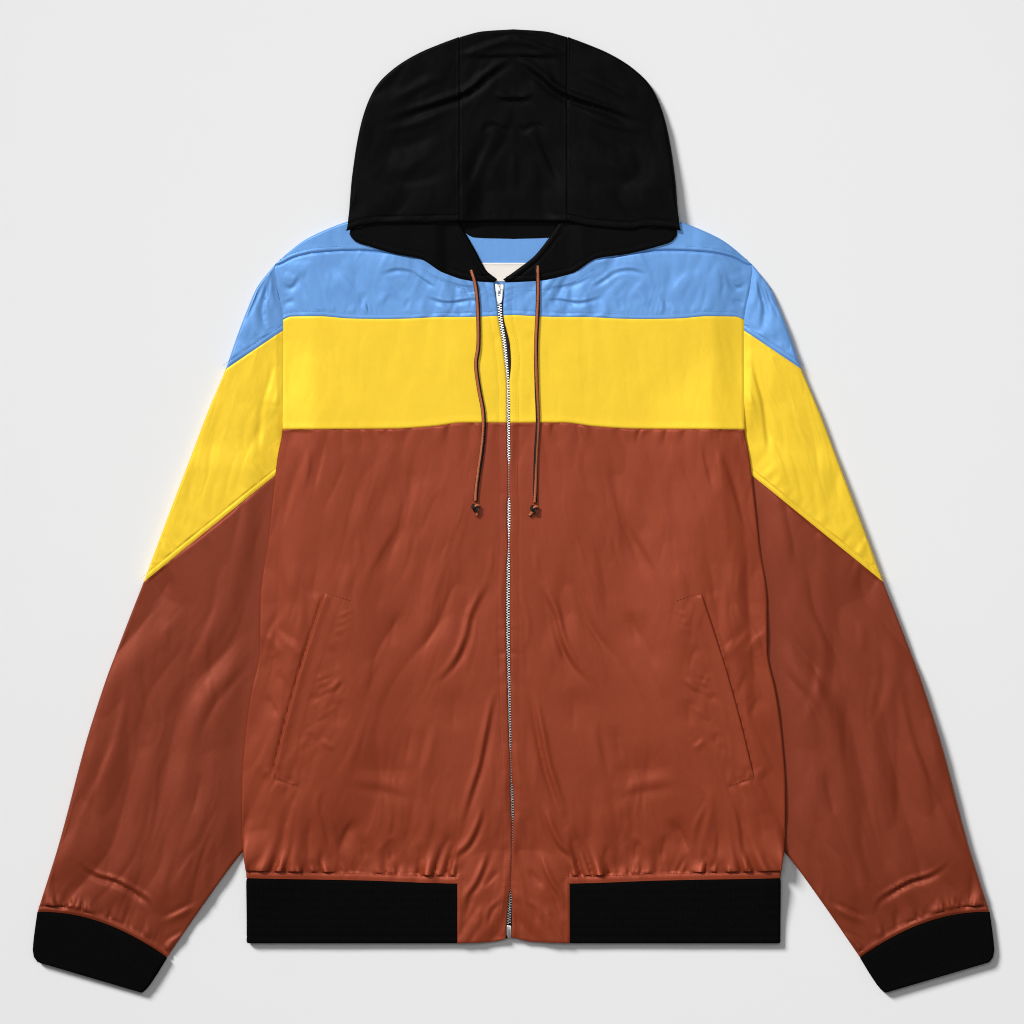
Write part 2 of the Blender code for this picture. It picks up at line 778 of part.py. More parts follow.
def back_neck_nodes(side):
    """The back yoke's neck corners, from beside the centre to the shoulder's fold."""
    neck = [(x, read(BACK_NECK, "across", "up", abs(x))) for x, _ in top_nodes(side)[:6:-1]]
    shoulder = top_nodes(side)[6][0]
    return [*neck, (shoulder, read(SHOULDER_FOLD, "across", "up", abs(shoulder)))]


def back_neck(x):
    """The back yoke's neck edge at a place between its corners."""
    nodes = sorted(back_neck_nodes(-1)[1:] + back_neck_nodes(1))
    return float(np.interp(x, [node[0] for node in nodes], [node[1] for node in nodes]))


def hood_centre():
    """The strip from the crown's front edge, over the apex and down to the back neck seam."""
    edge = CENTRE_STRIP - SEAM_GAP / 2
    inner = [node[0] for side in SIDES.values() for node in back_neck_nodes(side)]
    columns = []
    for x in sorted([-edge, edge] + [x for x in inner if abs(x) < edge - 1]):
        front = (x, read(CROWN_FRONT, "across", "up", abs(x)))
        outer = (x, read(APEX, "across", "up", abs(x)))
        back = (x, back_neck(x) + NECK_SEAM_GAP)
        columns.append(folded(front, outer, back, crown_height, hood_back_height, CENTRE_STEPS))
    sheet("hood_centre", columns, SHELL_WALL, "shell_black")


def hood_side(name, side):
    """Crown layer, outline fold and the layer behind. Its last row lies over the shoulder with nothing behind."""
    seam = side * (CENTRE_STRIP + SEAM_GAP / 2)
    on_neck = [(seam, back_neck(seam)), *back_neck_nodes(side)[2:]]
    backs = [(seam, up) for up in HOOD_SIDE["back_up"] if up]
    backs += [(x, up + NECK_SEAM_GAP) for x, up in on_neck]
    columns = []
    for row, back in enumerate(backs):
        outer = (side * HOOD_SIDE["outline_across"][row], HOOD_SIDE["outline_up"][row])
        through = (side * HOOD_SIDE["behind_across"][row], HOOD_SIDE["behind_up"][row])
        front = (seam, HOOD_SIDE["crown_up"][row])
        columns.append(folded(front, outer, back, crown_height, hood_back_height, HOOD_STEPS, through))
    crown_up, across, up = CROWN_CORNER
    corner = (side * across, up)
    last = layer((seam, crown_up), corner, HOOD_STEPS, crown_height) + [(*corner, crown_height(*corner))]
    columns.append(last)
    sheet(name, columns, SHELL_WALL, "shell_black")


def hood_front(name, side):
    """The side panel's front, below its fold: face opening to neck seam, then hidden under the crown."""
    columns = []
    for row in range(len(HOOD_FRONT["face_up"])):
        face, edge = hood_front_point("face", row, side), hood_front_point("edge", row, side)
        edge = (edge[0], edge[1] + SEAM_GAP / 2)
        columns.append(layer(face, edge, FLAP_STEPS, flap_height) + [(*edge, flap_height(*edge))])
    sheet(name, columns, SHELL_WALL, "shell_black")


# Trims


def height_on(columns, x, up, wall):
    """Top of a faceted front panel at a place, whichever way its faces are split."""
    best = None
    for left, right in zip(columns, columns[1:]):
        for j in range(len(left) - 1):
            corners = [left[j], right[j], right[j + 1], left[j + 1]]
            if None in corners:
                continue
            for a, b, c in ((0, 1, 2), (0, 2, 3), (0, 1, 3), (1, 2, 3)):
                z = height_in(corners[a], corners[b], corners[c], x, up)
                if z is not None:
                    best = z if best is None else max(best, z)
    return None if best is None else best + wall / 2


def height_in(a, b, c, x, up):
    area = (b[0] - a[0]) * (c[1] - a[1]) - (c[0] - a[0]) * (b[1] - a[1])
    if abs(area) < 1e-6:
        return None
    v = ((x - a[0]) * (c[1] - a[1]) - (c[0] - a[0]) * (up - a[1])) / area
    w = ((b[0] - a[0]) * (up - a[1]) - (x - a[0]) * (b[1] - a[1])) / area
    if min(v, w, 1 - v - w) < -0.02:
        return None
    return a[2] + (b[2] - a[2]) * v + (c[2] - a[2]) * w


def front_top(panels, x, up):
    """Top of whichever front panel lies at a place."""
    heights = [height_on(columns, x, up, SHELL_WALL) for columns in panels]
    return max((z for z in heights if z is not None), default=front_height(x, up) + SHELL_WALL / 2)


def pocket_welt(name, side, panel):
    """A slanted strip that lies on the lower front, from points on that panel moved out."""
    rows = WELT
    columns = []
    for row in range(WELT_ROWS + 1):
        share = row / WELT_ROWS
        outer = [lerp(rows[key][0], rows[key][1], share) for key in ("across", "up")]
        inner = [lerp(rows[key][0], rows[key][1], share) for key in ("inner_across", "inner_up")]
        column = []
        for step in range(3):
            x, up = side * lerp(outer[0], inner[0], step / 2), lerp(outer[1], inner[1], step / 2)
            top = height_on(panel, x, up, SHELL_WALL)
            column.append((x, up, top + CLOTH_GAP * 2 + WELT_WALL / 2))
        columns.append(column)
    sheet(name, columns, WELT_WALL, "shell_brown")


def box(name, low, high, material, **finish):
    (x0, y0, z0), (x1, y1, z1) = low, high
    points = [(x, y, z) for z in (z0, z1) for x, y in ((x0, y0), (x1, y0), (x1, y1), (x0, y1))]
    faces = [[3, 2, 1, 0], [4, 5, 6, 7], [0, 1, 5, 4], [1, 2, 6, 5], [2, 3, 7, 6], [3, 0, 4, 7]]
    return solid(name, points, faces, material, **finish)


def neck_label():
    (x0, x1), (up0, up1) = LABEL["x"], LABEL["up"]
    floor = SHELL_WALL + CLOTH_GAP
    box("neck_label", (x0, up0, floor), (x1, up1, floor + LABEL_WALL), "label_cream")


def zip_tape(name, side):
    """One tape, hidden under its front's edge, from below the slider to the bottom box."""
    top, bottom = ZIP_TOP - SLIDER_LENGTH - TAPE_GAP, ZIP_BOTTOM + BOX_LENGTH + TAPE_GAP
    columns = [[], []]
    for row in range(TAPE_ROWS + 1):
        up = lerp(bottom, top, row / TAPE_ROWS)
        centre = read(ZIP_LINE, "up", "x", up)
        columns[0].append((centre + side * SEAM_GAP, up, TAPE_MIDDLE))
        columns[1].append((centre + side * TAPE_WIDTH, up, TAPE_MIDDLE))
    sheet(name, columns, TAPE_WALL, "zip_tape")


def prism(name, outline, half_widths, material, centre, lean, origin=(0, 0, 0), **finish):
    """A profile in the YZ plane, given its own half width at each corner and leaning with the zip."""
    count = len(outline)
    points = []
    for sign in (-1, 1):
        for (up, z), half in zip(outline, half_widths):
            x = centre + lean * (up - outline[0][0]) + sign * half
            points.append((x - origin[0], up - origin[1], z - origin[2]))
    sides = [[i, (i + 1) % count, (i + 1) % count + count, i + count] for i in range(count)]
    caps = [list(range(count))[::-1], list(range(count, 2 * count))]
    return solid(name, points, caps + sides, material, origin, **finish)


METAL = {"metallic": 1.0, "roughness": 0.3}


def slider_sizes():
    """Places along the slider and its bridge, from the zip's top end downwards."""
    end = ZIP_TOP - SLIDER_LENGTH
    deck = UPPER_PLATE + PLATE
    return {
        "top": ZIP_TOP,
        "end": end,
        "deck": deck,
        "x": read(ZIP_LINE, "up", "x", ZIP_TOP - SLIDER_LENGTH / 2),
        "bridge_high": ZIP_TOP - BRIDGE_SET,
        "bridge_low": ZIP_TOP - BRIDGE_SET - BRIDGE_LENGTH,
        "hinge_up": ZIP_TOP - BRIDGE_SET - BRIDGE_LENGTH / 2,
        "hinge_z": deck + BRIDGE_ROOM / 2,
    }


def half_at(up):
    share = (ZIP_TOP - up) / SLIDER_LENGTH
    return lerp(SLIDER_HALF_TOP, SLIDER_HALF_END, share)


def zip_slider():
    """Two tapering plates joined by a neck at the top end, with the pull's bridge standing on the upper one."""
    s = slider_sizes()
    neck = s["top"] - SLIDER_NECK
    outline = [
        (s["top"], LOWER_PLATE),
        (s["top"], s["deck"]),
        (s["end"], s["deck"]),
        (s["end"], UPPER_PLATE),
        (neck, UPPER_PLATE),
        (neck, LOWER_PLATE + PLATE),
        (s["end"], LOWER_PLATE + PLATE),
        (s["end"], LOWER_PLATE),
    ]
    halves = [half_at(up) for up, _ in outline]
    slider = prism("zip_slider", outline, halves, "zip_metal", s["x"], 0, **METAL)
    bar = s["deck"] + BRIDGE_ROOM
    top, shoulder, foot = bar + PLATE, bar + PLATE - BRIDGE_CORNER, s["deck"] - BRIDGE_SINK
    arch = [
        (s["bridge_high"], foot),
        (s["bridge_high"], shoulder),
        (s["bridge_high"] - BRIDGE_POST, top),
        (s["bridge_low"] + BRIDGE_POST, top),
        (s["bridge_low"], shoulder),
        (s["bridge_low"], foot),
        (s["bridge_low"] + BRIDGE_POST, foot),
        (s["bridge_low"] + BRIDGE_POST, bar),
        (s["bridge_high"] - BRIDGE_POST, bar),
        (s["bridge_high"] - BRIDGE_POST, foot),
    ]
    bridge = prism("bridge", arch, [BRIDGE_WIDTH / 2] * len(arch), "zip_metal", s["x"], 0, **METAL)
    bridge.hide_render = True
    bridge.display_type = "WIRE"
    joined = slider.modifiers.new("bridge", "BOOLEAN")
    joined.operation = "UNION"
    joined.object = bridge


def zip_pull():
    """A tab with a slot round the bridge. Its crossbar turns under the bridge, and its origin is on that axis."""
    s = slider_sizes()
    origin = (s["x"], s["hinge_up"], s["hinge_z"])
    top, foot = PULL_BAR / 2, -PULL_LENGTH
    half, end_half, slot = PULL_WIDTH / 2, PULL_WIDTH / 2 * PULL_END_SHARE, PULL_SLOT_WIDTH / 2
    slot_top, slot_foot = -PULL_BAR / 2, -PULL_BAR / 2 - PULL_SLOT_LENGTH
    outer = [(-half, top), (-half, slot_foot), (-end_half, foot), (end_half, foot), (half, slot_foot), (half, top)]
    narrow, slot_end = slot * SLOT_END_SHARE, slot_foot - SLOT_END_RUN
    inner = [(-slot, slot_top), (-slot, slot_foot), (-narrow, slot_end),
             (narrow, slot_end), (slot, slot_foot), (slot, slot_top)]
    points = [(x, up, z) for z in (-PULL_WALL / 2, PULL_WALL / 2) for x, up in outer + inner]
    count, ring = len(outer), len(outer) + len(inner)
    faces = []
    for i in range(count):
        j = (i + 1) % count
        faces.append([i, j, j + count, i + count])
        faces.append([i + ring, i + count + ring, j + count + ring, j + ring])
        faces.append([i, i + ring, j + ring, j])
        faces.append([i + count, j + count, j + count + ring, i + count + ring])
    solid("zip_pull", points, faces, "zip_metal", origin, **METAL)


def zip_box():
    """Box and pin at the zip's foot."""
    x = read(ZIP_LINE, "up", "x", ZIP_BOTTOM + BOX_LENGTH / 2)
    low, high = BOX_LEVELS
    half = BOX_WIDTH / 2
    box("zip_box", (x - half, ZIP_BOTTOM, low), (x + half, ZIP_BOTTOM + BOX_LENGTH, high), "zip_metal", **METAL)


def smooth_route(rows, spacing):
    """Evenly spaced places on a smooth curve through the route's own."""
    places = np.array(list(zip(rows["x"], rows["up"])))
    ends = np.vstack([2 * places[0] - places[1], places, 2 * places[-1] - places[-2]])
    fine = []
    for a, b, c, d in zip(ends, ends[1:], ends[2:], ends[3:]):
        for t in np.linspace(0, 1, 20, endpoint=False):
            fine.append(0.5 * (2 * b + (c - a) * t + (2 * a - 5 * b + 4 * c - d) * t**2
                               + (3 * b - a - 3 * c + d) * t**3))
    fine = np.array([*fine, places[-1]])
    run = np.concatenate([[0], np.cumsum(np.linalg.norm(np.diff(fine, axis=0), axis=1))])
    stops = np.linspace(0, run[-1], round(run[-1] / spacing) + 1)
    return np.column_stack([np.interp(stops, run, fine[:, 0]), np.interp(stops, run, fine[:, 1])])


def drawcord(name, rows, panels):
    """A limp cord lying on the hood's front, the yoke, the band and the lower front."""
    curve = bpy.data.curves.new(name, "CURVE")
    curve.dimensions = "3D"
    curve.bevel_depth = CORD / 2 * MM
    curve.bevel_resolution = 2
    curve.use_fill_caps = True
    places = smooth_route(rows, 2.4 * CORD)
    tops = [front_top(panels, x, up) for x, up in places]
    held = [max(tops[max(i - 1, 0) : i + 2]) for i in range(len(tops))]
    spline = curve.splines.new("POLY")
    spline.points.add(len(places) - 1)
    for point, (x, up), top in zip(spline.points, places, held):
        point.co = (x * MM, up * MM, (top + CORD / 2 + CLOTH_GAP) * MM, 1)
    curve.materials.append(material_of("cord_copper"))
    made = bpy.data.objects.new(name, curve)
    bpy.context.scene.collection.objects.link(made)
    return held[-1]


def knot(name, place, top):
    """The overhand knot's outer shape: a rounded lump."""
    rings, around = 6, 10
    centre = np.array([*place, top + CLOTH_GAP + KNOT[2] / 2])
    points = [(0, 0, -0.5)]
    for ring in range(1, rings):
        lift = math.pi * ring / rings
        for step in range(around):
            turn = 2 * math.pi * step / around
            points.append((math.sin(lift) * math.cos(turn) / 2, math.sin(lift) * math.sin(turn) / 2,
                           -math.cos(lift) / 2))
    points.append((0, 0, 0.5))
    last = len(points) - 1
    faces = []
    for step in range(around):
        after = (step + 1) % around
        faces.append([0, 1 + after, 1 + step])
        base = last - around
        faces.append([last, base + step, base + after])
        for ring in range(rings - 2):
            low = 1 + ring * around
            faces.append([low + step, low + after, low + around + after, low + around + step])
    solid(name, centre + np.array(points) * KNOT, faces, "cord_copper")


def clear_scene():
    for old in list(bpy.data.objects):
        bpy.data.objects.remove(old, do_unlink=True)


def main():
    clear_scene()
    back_yoke()
    back_panel("back_band", BAND_LINE, YOKE_LINE, BAND_ROWS, "shell_yellow")
    back_panel("back_lower", HEM_TOP, BAND_LINE, LOWER_ROWS, "shell_brown")
    hem_rib()
    hood_centre()
    neck_label()
    zip_slider()
    zip_pull()
    zip_box()
    for wearer, side in SIDES.items():
        panels = {
            "yoke": (yoke_columns(side), "shell_blue"),
            "band": (panel_columns(side, BAND_LINE, YOKE_LINE, BAND_ROWS, front_height), "shell_yellow"),
            "lower": (front_lower_columns(side), "shell_brown"),
        }
        for part, (columns, material) in panels.items():
            sheet(f"front_{wearer}_{part}", columns, SHELL_WALL, material)
        sleeve_piece(f"sleeve_{wearer}_cap", SLEEVE_CAP, side, "shell_blue")
        sleeve_piece(f"sleeve_{wearer}_band", SLEEVE_BAND, side, "shell_yellow")
        sleeve_piece(f"sleeve_{wearer}_lower", SLEEVE_LOWER, side, "shell_brown")
        cuff(f"cuff_{wearer}", side)
        hood_side(f"hood_{wearer}_side", side)
        hood_front(f"hood_{wearer}_front", side)
        zip_tape(f"zip_tape_{wearer}", side)
        pocket_welt(f"pocket_welt_{wearer}", side, panels["lower"][0])
        top = drawcord(f"drawcord_{wearer}", CORDS[wearer], [columns for columns, _ in panels.values()])
        knot(f"cord_knot_{wearer}", KNOTS[wearer], top)


main()
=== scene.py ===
import bpy
import math
from functools import lru_cache
import numpy as np
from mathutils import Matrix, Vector


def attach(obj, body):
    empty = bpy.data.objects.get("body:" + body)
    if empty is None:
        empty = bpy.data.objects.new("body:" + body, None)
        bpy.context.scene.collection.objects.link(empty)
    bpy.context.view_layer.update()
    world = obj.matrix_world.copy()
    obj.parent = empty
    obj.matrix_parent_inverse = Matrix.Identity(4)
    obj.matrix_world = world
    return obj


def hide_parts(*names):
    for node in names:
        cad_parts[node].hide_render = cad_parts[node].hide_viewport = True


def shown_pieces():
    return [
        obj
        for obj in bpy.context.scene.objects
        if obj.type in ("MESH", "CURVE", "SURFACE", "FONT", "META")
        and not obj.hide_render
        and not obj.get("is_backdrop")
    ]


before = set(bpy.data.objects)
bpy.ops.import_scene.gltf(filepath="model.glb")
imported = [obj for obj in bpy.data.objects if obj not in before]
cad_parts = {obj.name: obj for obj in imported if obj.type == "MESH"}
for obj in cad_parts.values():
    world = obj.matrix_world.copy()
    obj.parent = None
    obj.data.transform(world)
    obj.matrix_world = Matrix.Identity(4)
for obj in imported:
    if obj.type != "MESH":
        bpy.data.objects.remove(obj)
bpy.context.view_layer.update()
print("jacket: frame loaded")

# Sizes are in millimetres, and metres in the meshes. "across" is the distance from the middle line and
# "up" runs from hem to hood. Left and right are the wearer's: the wearer's right is at -x.
mm = 0.001
sides = {"right": -1, "left": 1}


# Small tools


def ease(share):
    share = np.clip(share, 0.0, 1.0)
    return share * share * (3 - 2 * share)


def mix(a, b, share):
    return a + (b - a) * share


def smoothCurve(*points):
    # a reader for the smooth line through the points, which never swings past them
    at, value = np.array(sorted(points), float).T
    secant = np.diff(value) / np.diff(at)
    before, after = secant[:-1], secant[1:]
    bends = before * after > 0
    inner = np.where(bends, 2 * before * after / np.where(bends, before + after, 1.0), 0.0)
    slope = np.concatenate([secant[:1], inner, secant[-1:]])

    def read(place):
        place = np.clip(place, at[0], at[-1])
        i = np.clip(np.searchsorted(at, place, side="right") - 1, 0, len(at) - 2)
        run = at[i + 1] - at[i]
        t = (place - at[i]) / run
        held = (1 + 2 * t) * (1 - t) ** 2 * value[i] + t * t * (3 - 2 * t) * value[i + 1]
        return held + t * (1 - t) ** 2 * run * slope[i] - t * t * (1 - t) * run * slope[i + 1]

    return read


def curvesOf(table):
    # a smooth line for each column of a table, read by row number
    return [smoothCurve(*enumerate(column)) for column in table.T]


def bothSides(line):
    # a line drawn for one side, mirrored for the other
    return lambda x: line(np.abs(x))


hillCount = 64


@lru_cache(None)
def hillHeights(seed):
    return np.random.RandomState(seed).uniform(-1, 1, (hillCount, hillCount))


def hills(a, b, seed):
    # smooth uneven hills about one unit wide, from -1 to 1
    heights, size = hillHeights(seed), hillCount
    a, b = np.broadcast_arrays(np.asarray(a, float), np.asarray(b, float))
    i, j = np.floor(a).astype(int), np.floor(b).astype(int)
    s, t = ease(a - i), ease(b - j)
    low, high = [mix(heights[i % size, k % size], heights[(i + 1) % size, k % size], s) for k in (j, j + 1)]
    return mix(low, high, t)


def folds(a, b, seed):
    # soft patches of cloth that meet in sharp lines, about one unit wide, around 0
    bent = a + 0.7 * hills(a * 0.6, b * 1.4, seed + 1)
    return np.abs(hills(bent, b, seed)) + 0.45 * np.abs(hills(bent * 2.3 + 5, b * 1.8, seed + 2)) - 0.5


def lineOf(xs, ups):
    return np.column_stack(np.broadcast_arrays(xs, ups))


def beside(route, off):
    # the route, moved towards its left
    way = np.gradient(route, axis=0)
    way /= np.linalg.norm(way, axis=1)[:, None]
    return route + np.column_stack([-way[:, 1], way[:, 0]]) * off


def runAlong(path):
    # how far each point is along a path
    return np.concatenate([[0], np.cumsum(np.linalg.norm(np.diff(path, axis=0), axis=1))])


def smoothRoute(places, spacing):
    # evenly spaced places on the smooth line through the given ones
    places = np.array(places, float)
    ends = np.vstack([2 * places[0] - places[1], places, 2 * places[-1] - places[-2]])
    a, b, c, d = (ends[k:k + len(places) - 1, None] for k in range(4))
    t = np.linspace(0, 1, 20, endpoint=False)[None, :, None]
    fine = 0.5 * (2 * b + (c - a) * t + (2 * a - 5 * b + 4 * c - d) * t**2 + (3 * b - a - 3 * c + d) * t**3)
    fine = np.vstack([fine.reshape(-1, places.shape[1]), places[-1:]])
    run = runAlong(fine)
    marks = np.linspace(0, run[-1], max(2, round(run[-1] / spacing)) + 1)
    return np.column_stack([np.interp(marks, run, column) for column in fine.T])


@lru_cache(None)
def creaseRoute(places, spacing):
    return smoothRoute(places, spacing) if len(places) > 2 else np.array(places, float)


def placeAlong(x, up, route):
    # distance to a route, positive on its left, and the share of the route that is nearest
    start, run = route[:-1], np.diff(route, axis=0)
    length = np.linalg.norm(run, axis=1)
    gone = np.stack([x, up], -1)[:, None, :] - start
    t = np.clip((gone * run).sum(-1) / length**2, 0, 1)
    off = gone - run * t[..., None]
    gap = np.hypot(off[..., 0], off[..., 1])
    pick = np.arange(len(x)), gap.argmin(1)
    side = np.sign(run[pick[1], 0] * off[pick][:, 1] - run[pick[1], 1] * off[pick][:, 0])
    ran = np.concatenate([[0], np.cumsum(length)])
    share = (ran[pick[1]] + t[pick] * length[pick[1]]) / ran[-1]
    return gap[pick] * side, share


creaseRelief = 1.15  # how strongly the cloth is creased


def creased(across, up, creases):
    # each crease is height, half width, lean, then its places; a lean of 1 is a ridge on its left and
    # a trough on its right, and a lean of 0 is a plain ridge, or a trough where the height is negative
    total = np.zeros(np.shape(across))
    for height, width, lean, *places in creases:
        route = creaseRoute(tuple(places), max(width, 4.0))
        low, high = route.min(0) - 3 * width, route.max(0) + 3 * width
        near = (across > low[0]) & (across < high[0]) & (up > low[1]) & (up < high[1])
        if not near.any():
            continue
        gap, share = placeAlong(across[near], up[near], route)
        g = gap / width
        fade = ease(share / 0.4) * ease((1 - share) / 0.4)
        plain = 0.55 * np.exp(-((g / 1.7) ** 2)) + 0.6 * np.exp(-2.4 * np.abs(g))
        leaning = 2.33 * lean * g * np.exp(-g * g)
        total[near] += creaseRelief * height * fade * ((1 - abs(lean)) * plain + leaning)
    return total


def gathers(along, off, spacing, reach, depth, seed):
    # small uneven wrinkles that run away from a seam; off is the distance from it
    slanted = along + 0.5 * hills(along / (spacing * 5), 0.0, seed + 1) * off
    wave = 1.9 * np.abs(hills(slanted / spacing, off / (reach * 2.2), seed)) - 0.6
    far = reach * np.clip(0.75 + 0.75 * hills(along / (spacing * 1.7), 3.5, seed + 2), 0.2, 2)
    some = np.clip(0.6 + 0.7 * hills(along / (spacing * 7), 7.5, seed + 3), 0.1, 2)
    return depth * wave * some * np.exp(-((off / far) ** 2)) * ease(off / 1.8)


def gathered(along, off, sets):
    return sum(gathers(along, off, *one) for one in sets)


def ridge(off, width, height=1.0):
    # a rounded ridge along a line; off is the distance from the line
    return height * np.exp(-((off / width) ** 2))


def groove(off, width, depth):
    return -ridge(off, width, depth)


def rolled(off, run, drop):
    # how far an edge curls away within its last few millimetres
    return -drop * (1 - np.sqrt(1 - np.clip(1 - off / run, 0, 1) ** 2))


def stops(length, step):
    # shares of a length, closer together at both ends, with an even number of cells
    fine = [0.0, 0.5, 1.1, 1.9, 3.0]
    count = max(2, 2 * round((length - 6) / step / 2))
    middle = np.linspace(3.0, length - 3.0, count + 1)
    places = [*fine[:-1], *middle, *[length - place for place in fine[:-1]][::-1]]
    return np.array(places) / length


halfTurn = np.linspace(0, math.pi, 9)[1:-1]


def addObject(name, data):
    made = bpy.data.objects.new(name, data)
    bpy.context.scene.collection.objects.link(made)
    return made


def clothMesh(name, grid, wall, facing=1, ring=False):
    # A closed thin shell. The grid is its outer face, an inner face with every second point lies a wall
    # inside, and rims join them. Points that are nan leave a hole. facing is the first cell's side: 1 is up.
    count, length = grid.shape[:2]
    real = ~np.isnan(grid[..., 0])
    number = np.full((count, length), -1)
    number[real] = np.arange(real.sum())
    points = grid[real]

    def cells(stride):
        i, j = np.meshgrid(np.arange(0, count - (not ring) * stride, stride),
                           np.arange(0, length - stride, stride), indexing="ij")
        after, beyond = (i + stride) % count, j + stride
        quads = np.stack([number[i, j], number[after, j], number[after, beyond], number[i, beyond]], -1)
        quads = quads.reshape(-1, 4)
        return quads[(quads >= 0).all(1)]

    outer, inner = cells(1), cells(2)
    normals = np.zeros_like(points)
    corner = points[outer]
    across = np.cross(corner[:, 2] - corner[:, 0], corner[:, 3] - corner[:, 1])
    for k in range(4):
        np.add.at(normals, outer[:, k], across)
    normals /= np.linalg.norm(normals, axis=1)[:, None] + 1e-12
    flip = np.sign(across[:4, 2].sum()) != facing
    used = np.unique(inner)
    inside = np.full(len(points), -1)
    inside[used] = np.arange(len(used)) + len(points)
    innerFace = points[used] + normals[used] * (wall if flip else -wall)
    innerFace[:, 2] = np.maximum(innerFace[:, 2], 0.05)  # never below the surface it lies on
    where = np.argwhere(real)
    faces = outer.tolist() + inside[inner][:, ::-1].tolist()
    edges = {(quad[k - 1], quad[k]) for quad in inner.tolist() for k in range(4)}
    for a, b in sorted(edges):
        if (b, a) in edges:
            continue
        (i, j), (k, l) = where[a], where[b]
        between = number[count - 1 if abs(i - k) > 2 else (i + k) // 2, (j + l) // 2]
        p, q = inside[a], inside[b]
        faces += [[between, a, p], [b, between, q], [between, p, q]]
    if flip:
        faces = [face[::-1] for face in faces]
    return plainMesh(name, np.concatenate([points, innerFace]), faces, sharp=50)


def plainMesh(name, points, faces, sharp=40):
    mesh = bpy.data.meshes.new(name)
    mesh.from_pydata((np.array(points, float) * mm).tolist(), [], faces)
    mesh.shade_smooth()
    mesh.set_sharp_from_angle(angle=math.radians(sharp))
    return addObject(name, mesh)


def wear(piece, finish, slot, *nodes, body="jacket"):
    # gives a piece its finish, its body and the nodes that it stands for
    if finish:
        piece.data.materials.append(finishes[finish])
    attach(piece, body)
    if nodes:
        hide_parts(*nodes)
    return piece


# Finishes

nylon = {"weave": 0.42, "weaveDepth": 0.02, "crinkle": (19.0, 38.0), "crinkleDepth": 0.5, "roughness": 0.48,
         "uneven": 0.06, "lustre": 0.33, "blotch": 0.05}
colours = {
    "blue": (0.150, 0.352, 0.735),
    "yellow": (0.970, 0.640, 0.030),
    "brown": (0.300, 0.0475, 0.0158),
    "black": (0.0019, 0.0017, 0.0019),
    "rib": (0.0030, 0.0030, 0.0031),
    "label": (0.95, 0.89, 0.82),
    # the zip tape's own dark brown, painted darker still with painted shade, as it lies in the shaded gap
    # beside the teeth
    "tape": (0.018, 0.008, 0.006),
    "copper": (0.42, 0.115, 0.045),
    "cordBlack": (0.012, 0.009, 0.008),
}


def startFinish(name):
    made = bpy.data.materials.new(name)
    made.use_nodes = True
    return made, made.node_tree, made.node_tree.nodes["Principled BSDF"]


def feed(tree, node, sockets):
    # each socket gets its number, or a link from another node's output
    for name, value in sockets.items():
        if isinstance(value, bpy.types.NodeSocket):
            tree.links.new(value, node.inputs[name])
        else:
            node.inputs[name].default_value = value


def add(tree, kind, sockets, output=0, **settings):
    node = tree.nodes.new("ShaderNode" + kind)
    for name, value in settings.items():
        setattr(node, name, value)
    feed(tree, node, sockets)
    return node.outputs[output]


def both(tree, operation, a, b):
    return add(tree, "Math", {0: a, 1: b}, operation=operation)


def placed(tree, turn=0.0):
    # where the cloth's own threads lie: the jacket's flat plane, turned to follow a sleeve
    return add(tree, "Mapping", {"Vector": add(tree, "TexCoord", {}, "Object"), "Rotation": (0, 0, turn)})


def threads(tree, place, direction, pitch):
    sockets = {"Scale": 0.314 / (pitch * mm), "Distortion": 0.6, "Detail": 1.0, "Vector": place}
    return add(tree, "TexWave", sockets, "Fac", bands_direction=direction)


def speckle(tree, place, size, detail=2.0):
    return add(tree, "TexNoise", {"Scale": 1 / (size * mm), "Detail": detail, "Vector": place}, "Fac")


def crinkles(tree, place, wide, long):
    # fine soft creases that run along the cloth
    stretched = add(tree, "Mapping", {"Scale": (1, wide / long, 1), "Vector": place})
    return both(tree, "ABSOLUTE", both(tree, "SUBTRACT", speckle(tree, stretched, wide, 3.0), 0.5), 0.0)


def spread(tree, value, low, high):
    return add(tree, "MapRange", {"To Min": low, "To Max": high, "Value": value})


def shaded(tree, colour, value, amount):
    # the colour, a little lighter and darker from place to place
    tones = (1 - amount, 1 + amount)
    darker, lighter = [(*[min(1.0, channel * tone) for channel in colour], 1) for tone in tones]
    return add(tree, "Mix", {"A": darker, "B": lighter, "Factor": value}, "Result", data_type="RGBA")


def bumped(tree, shader, height, depth, strength=1.0):
    bump = add(tree, "Bump", {"Distance": depth * mm, "Strength": strength, "Height": height})
    feed(tree, shader, {"Normal": bump})


def satin(name, colour, turn=0.0, gloss=0.3, lustre=nylon["lustre"]):
    # fine plain-woven nylon: weave, slight unevenness of dye, and a lustre of the cloth's own colour
    made, tree, shader = startFinish(name)
    place = placed(tree, turn)
    weave = both(tree, "ADD", *[threads(tree, place, direction, nylon["weave"]) for direction in "XY"])
    patch = both(tree, "MULTIPLY", both(tree, "ADD", speckle(tree, place, 24), speckle(tree, place, 5)), 0.5)
    rough, uneven = nylon["roughness"], nylon["uneven"]
    feed(tree, shader, {
        "Base Color": shaded(tree, colour, patch, nylon["blotch"]),
        "Roughness": spread(tree, speckle(tree, place, 9), rough - uneven, rough + uneven),
        "Specular IOR Level": gloss,
        "Metallic": lustre,
    })
    fine = both(tree, "MULTIPLY", weave, nylon["weaveDepth"])
    soft = both(tree, "MULTIPLY", crinkles(tree, place, *nylon["crinkle"]), nylon["crinkleDepth"])
    bumped(tree, shader, both(tree, "ADD", fine, soft), 1.0)
    return made


